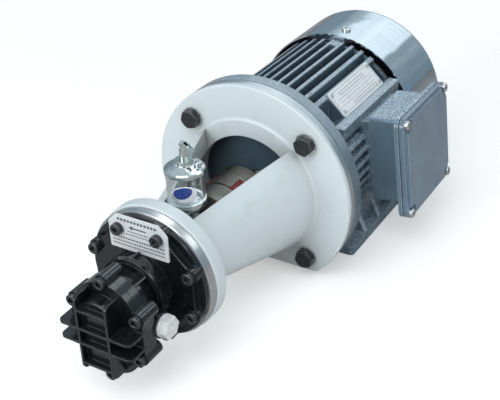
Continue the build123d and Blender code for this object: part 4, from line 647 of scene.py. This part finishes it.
# Bare metal: the part of the flange's rim that lies near the motor, with an uneven edge.
FLANGE_RIM_FROM, FLANGE_RIM_FULL = 0.0988, 0.0994
BARE_FROM_Y, BARE_FULL_Y = -0.1065, -0.1055
aside, along, above = at_shaft(tree)
on_rim = between(tree, off_shaft(tree, aside, above), FLANGE_RIM_FROM, FLANGE_RIM_FULL)
uneven = calc(tree, "MULTIPLY_ADD", noise(tree, 70, 3), 0.004, along)
bared = times(tree, on_rim, between(tree, uneven, BARE_FROM_Y, BARE_FULL_Y))
painted = calc(tree, "SUBTRACT", 1.0, bared)
soft_edge = softened(tree, 0.0008)
feed(tree, shader, Base_Color=mixed(tree, bared, enamel["Colour"], bare["Colour"]),
     Metallic=bared,
     Roughness=calc(tree, "ADD", times(tree, painted, enamel["Roughness"]),
                    times(tree, bared, bare["Roughness"])),
     Normal=bumped(tree, enamel["Height"], 0.00007, Normal=soft_edge), Coat_Normal=soft_edge)
dress(bell_paint, "bell_housing")


# Flange bolts, set screws and cap screws: black-oxide steel, a little oily, worn to
# grey along the corners of the hexagons and the rims of the heads.
black_oxide, tree, shader = new_finish("black_oxide", Metallic=0.55)
finish_with(tree, shader, 0.00005, use_effect(
    tree, plated_bloom, Plating=(0.045, 0.046, 0.049, 1), Dull=(0.014, 0.014, 0.016, 1),
    Gloss=0.34), 0.0004)
bolt_rub = use_effect(tree, edge_lean, Width=0.0005, Patches=500)["Mask"]
lay_over(tree, shader, times(tree, bolt_rub, 0.35), (0.2, 0.2, 0.2, 1))
dress(black_oxide, "flange_bolts", "coupling_set_screws", "bearing_circlip", "adapter_screws",
      "cover_screws")


# Claw coupling: two hubs of sintered iron, grey-brown and finely pitted, gripping a
# star of red rubber between their claws. The side away from the terminal box is painted
# almost black: a painted shadow.
sintered, tree, shader = new_finish("sintered_iron", Metallic=0.35)
pits = put(tree, "TexVoronoi", Vector=own_place(tree), Scale=1500).outputs[0]
pits = between(tree, pits, 0.0, 0.35)
grey = mixed(tree, between(tree, noise(tree, 70, 4, 0.6), 0.35, 0.7),
             (0.30, 0.29, 0.25, 1), (0.19, 0.185, 0.16, 1))
grey = mixed(tree, pits, (0.10, 0.095, 0.085, 1), grey)
across = put(tree, "SeparateXYZ", Vector=own_place(tree)).outputs[0]
across = calc(tree, "MULTIPLY_ADD", noise(tree, 60, 4, 0.6), 0.010, across)
# Painted shadow: the hubs darken towards -X, along an uneven line.
shadowed_side = between(tree, across, -0.004, 0.014, 0.95, 0.0)
feed(tree, shader, Base_Color=mixed(tree, shadowed_side, grey, (0.022, 0.021, 0.020, 1)),
     Roughness=between(tree, noise(tree, 200, 3), 0.3, 0.7, 0.36, 0.55),
     Normal=bumped(tree, pits, 0.00008))
dress(sintered, "motor_coupling_hub", "pump_coupling_hub")
red_rubber, tree, shader = new_finish("red_rubber")
finish_with(tree, shader, 0.00006, use_effect(
    tree, moulded_skin, Body=(0.24, 0.012, 0.010, 1), Dust=(0.30, 0.13, 0.11, 1), Skin=700,
    Gloss=0.42))
dress(red_rubber, "coupling_spider")


# Mounting ring between bell and pump: a disc of aluminium bar, faced and turned on a
# lathe, so that the tool's rings catch the light.
ring_metal, tree, shader = new_finish("turned_aluminium", Metallic=1.0, Anisotropic=0.8)
finish_with(tree, shader, 0.00007, use_effect(
    tree, turned_marks, Fineness=950, Bright=(0.74, 0.73, 0.72, 1),
    Groove=(0.52, 0.51, 0.50, 1), Gloss=0.30))
feed(tree, shader, Tangent=across_marks(tree))
dress(ring_metal, "mounting_ring")


# Adapter cover, gear housing and front cover: pressure castings under smooth black
# paint, glossy on the flats, softly uneven from the mould, with specks of dust.
black_coat, taken, given = new_effect(
    "black_coat", {"Paint": (0.01, 0.01, 0.01, 1), "Dust": (0.3, 0.3, 0.3, 1), "Gloss": 0.22},
    ["Colour", "Roughness", "Height"])
film = noise(black_coat, 38, 4, 0.6)
lint = put(black_coat, "TexVoronoi", Vector=own_place(black_coat), Scale=210.0).outputs[0]
lint = times(black_coat, between(black_coat, lint, 0.05, 0.09, 1.0, 0.0),
             between(black_coat, noise(black_coat, 26, 2), 0.5, 0.62))
edge_band = use_effect(black_coat, edge_lean, Width=0.0007, Patches=220)["Mask"]
dusty = times(black_coat, upward(black_coat, 0.2, 1.0),
              between(black_coat, noise(black_coat, 300, 4, 0.7), 0.4, 0.8, 0.0, 0.05))
coat = mixed(black_coat, dusty, taken["Paint"], taken["Dust"])
coat = mixed(black_coat, times(black_coat, edge_band, 0.12), coat, (0.22, 0.23, 0.25, 1))
feed(black_coat, given,
     Colour=mixed(black_coat, times(black_coat, lint, 0.5), coat, taken["Dust"]),
     Roughness=swing(black_coat, film, 0.45, 0.45, taken["Gloss"]),
     Height=calc(black_coat, "ADD", times(black_coat, noise(black_coat, 75, 2), 2.0),
                 noise(black_coat, 800, 3)))

black_paint, tree, shader = new_finish(
    "black_paint", Specular_IOR_Level=0.12, Coat_Weight=0.9, Coat_Roughness=0.11)
finish_with(tree, shader, 0.00009, use_effect(
    tree, black_coat, Paint=(0.0060, 0.0064, 0.0078, 1), Dust=(0.30, 0.32, 0.35, 1),
    Gloss=0.30), 0.0009)
dress(black_paint, "adapter_cover", "gear_housing", "front_cover")


# Tag on the adapter cover: printed aluminium under two of the screws. It carries the
# arrow of the turning direction and, in place of words, rows of dashes.
tag_metal, tree, shader = new_finish("tag_metal", Metallic=0.2)
finish_with(tree, shader, 0.00003, use_effect(
    tree, satin_sheet, Sheet=(0.80, 0.82, 0.82, 1), Soil=(0.60, 0.62, 0.63, 1), Gloss=0.40))
dress(tag_metal, "pump_nameplate")
TAG_FACE_Y = -0.2790
tag_carry = Matrix(((1, 0, 0, 0), (0, 0, -1, TAG_FACE_Y), (0, 1, 0, SHAFT_Z)))
ARROW_HEIGHT = 0.0484
tag_print = [([-0.0086, -0.0085, -0.0048, -0.0047, 0.0082], ARROW_HEIGHT,
              [0.0, 0.0001, 0.0019, 0.0006, 0.0006])]


def dashes(middle, start, end, count, half):
    """A ruled line broken into equal dashes, each two thirds of its step long."""
    step = (end - start) / count
    return [([start + k * step, start + (k + 0.66) * step], middle, [half, half])
            for k in range(count)]


for height, reach, count, half in (
        (0.0538, 0.0190, 12, 0.0011), (0.0446, 0.0100, 9, 0.0005), (0.0418, 0.0115, 10, 0.0005),
        (0.0372, 0.0250, 20, 0.0007), (0.0338, 0.0250, 22, 0.0006), (0.0306, 0.0250, 22, 0.0006)):
    tag_print += dashes(height, -reach, reach, count, half)
tag_marks = strips("tag_arrow_and_rules", tag_print, PRINT_HEIGHT, tag_carry)
tag_marks.data.materials.append(ink)
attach(tag_marks, "pump_unit")


# Port plugs: white moulded caps with a hexagon, slightly clouded and dirty from hands.
# They close the two ports until pipes are fitted.
plug_white, tree, shader = new_finish(
    "plug_plastic", Subsurface_Weight=0.15, Subsurface_Scale=0.002)
clouded = noise(tree, 240, 5, 0.65)
feed(tree, shader, Base_Color=mixed(tree, between(tree, clouded, 0.38, 0.68),
                                    (0.83, 0.84, 0.83, 1), (0.64, 0.65, 0.64, 1)),
     Roughness=between(tree, clouded, 0.3, 0.7, 0.32, 0.5),
     Normal=bumped(tree, clouded, 0.00035))
dress(plug_white, "port_plugs")


# Drip oiler: chromed brass fittings screwed together over and under a clear glass. The
# chrome is bright with faint buffing marks.
chrome, tree, shader = new_finish("bright_chrome", Metallic=1.0)
finish_with(tree, shader, 0.00002, use_effect(
    tree, plated_bloom, Plating=(0.60, 0.64, 0.63, 1), Dull=(0.38, 0.41, 0.41, 1), Gloss=0.10))
dress(chrome, "oiler_base", "oiler_lid", "oiler_needle", "oiler_adjusting_nut", "oiler_lever",
      "oiler_lever_pin", "oiler_filler_cap")
clear_glass, tree, shader = new_finish(
    "clear_glass", Base_Color=(0.95, 0.955, 0.96, 1), Transmission_Weight=1.0, IOR=1.47)
feed(tree, shader, Roughness=between(tree, noise(tree, 90, 4, 0.6), 0.45, 0.75, 0.015, 0.09),
     Normal=bumped(tree, noise(tree, 60, 2), 0.0002))
dress(clear_glass, "oiler_glass")


# Label on the oiler's glass: a white oval sticker with a blue oval in it, without words.
# It is thin film, pressed round the glass and a little askew.
def wrapped_oval(name, middle, radius, facing, half_w, half_h, tilt, thickness):
    """An oval bent round an upright cylinder. Shares s of the oval's half axes run 0 to 1 on the
    outer skin and 1 to 0 on the inner one, and angles a run once round. With
    p = s * half_w * cos(a) and q = s * half_h * sin(a) the point lies at the turn
    facing + (p * cos(tilt) - q * sin(tilt)) / radius and at the height
    p * sin(tilt) + q * cos(tilt) over the middle. Both poles are single points."""
    rows, round_steps = 9, 72
    share = np.concatenate([np.linspace(0, 1, rows), np.linspace(1, 0, rows)])
    reach = radius + np.concatenate([np.full(rows, thickness), np.full(rows, 0.0)])
    a = np.linspace(0, 2 * math.pi, round_steps, endpoint=False)
    p = share[:, None] * half_w * np.cos(a)
    q = share[:, None] * half_h * np.sin(a)
    turn = facing + (p * math.cos(tilt) - q * math.sin(tilt)) / radius
    height = middle[2] + p * math.sin(tilt) + q * math.cos(tilt)
    grid = np.stack([middle[0] + reach[:, None] * np.cos(turn),
                     middle[1] + reach[:, None] * np.sin(turn), height], axis=-1)
    points = np.concatenate([grid[:1, 0], grid[1:-1].reshape(-1, 3), grid[-1:, 0]])
    j = np.arange(round_steps)
    following = (j + 1) % round_steps
    bands = len(share) - 3
    first_row, last_row = 1, 1 + bands * round_steps
    pole = np.zeros(round_steps, int)
    first = np.stack([pole, first_row + j, first_row + following], axis=-1)
    last = np.stack([pole + len(points) - 1, last_row + following, last_row + j], axis=-1)
    quads = side_quads(first_row + np.arange(bands) * round_steps, round_steps)
    faces = quads.tolist() + first.tolist() + last.tolist()
    piece = new_piece(name, points, faces)
    piece.data.polygons.foreach_set("use_smooth", np.ones(len(faces), bool))
    return piece


GLASS_R = 0.0158
OILER_Y = -0.212
FILM = 0.00008
for name, facing, middle_z, half_w, half_h, tilt, lift, colour, dark in (
        ("oiler_label", -60, 0.1330, 0.0108, 0.0078, 0.10, 0.00002,
         (0.80, 0.82, 0.84, 1), (0.66, 0.68, 0.72, 1)),
        ("oiler_label_band", -66, 0.1345, 0.0084, 0.0052, 0.26, 0.00011,
         (0.018, 0.045, 0.24, 1), (0.04, 0.08, 0.34, 1))):
    label = wrapped_oval(name, (0.0, OILER_Y, middle_z), GLASS_R + lift, math.radians(facing),
                         half_w, half_h, tilt, FILM)
    printed, tree, shader = new_finish(name + "_print", Coat_Weight=0.4, Coat_Roughness=0.1)
    feed(tree, shader,
         Base_Color=mixed(tree, between(tree, noise(tree, 420, 4), 0.4, 0.7), colour, dark),
         Roughness=between(tree, noise(tree, 200, 2), 0.3, 0.7, 0.25, 0.4))
    label.data.materials.append(printed)
    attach(label, "pump_unit")
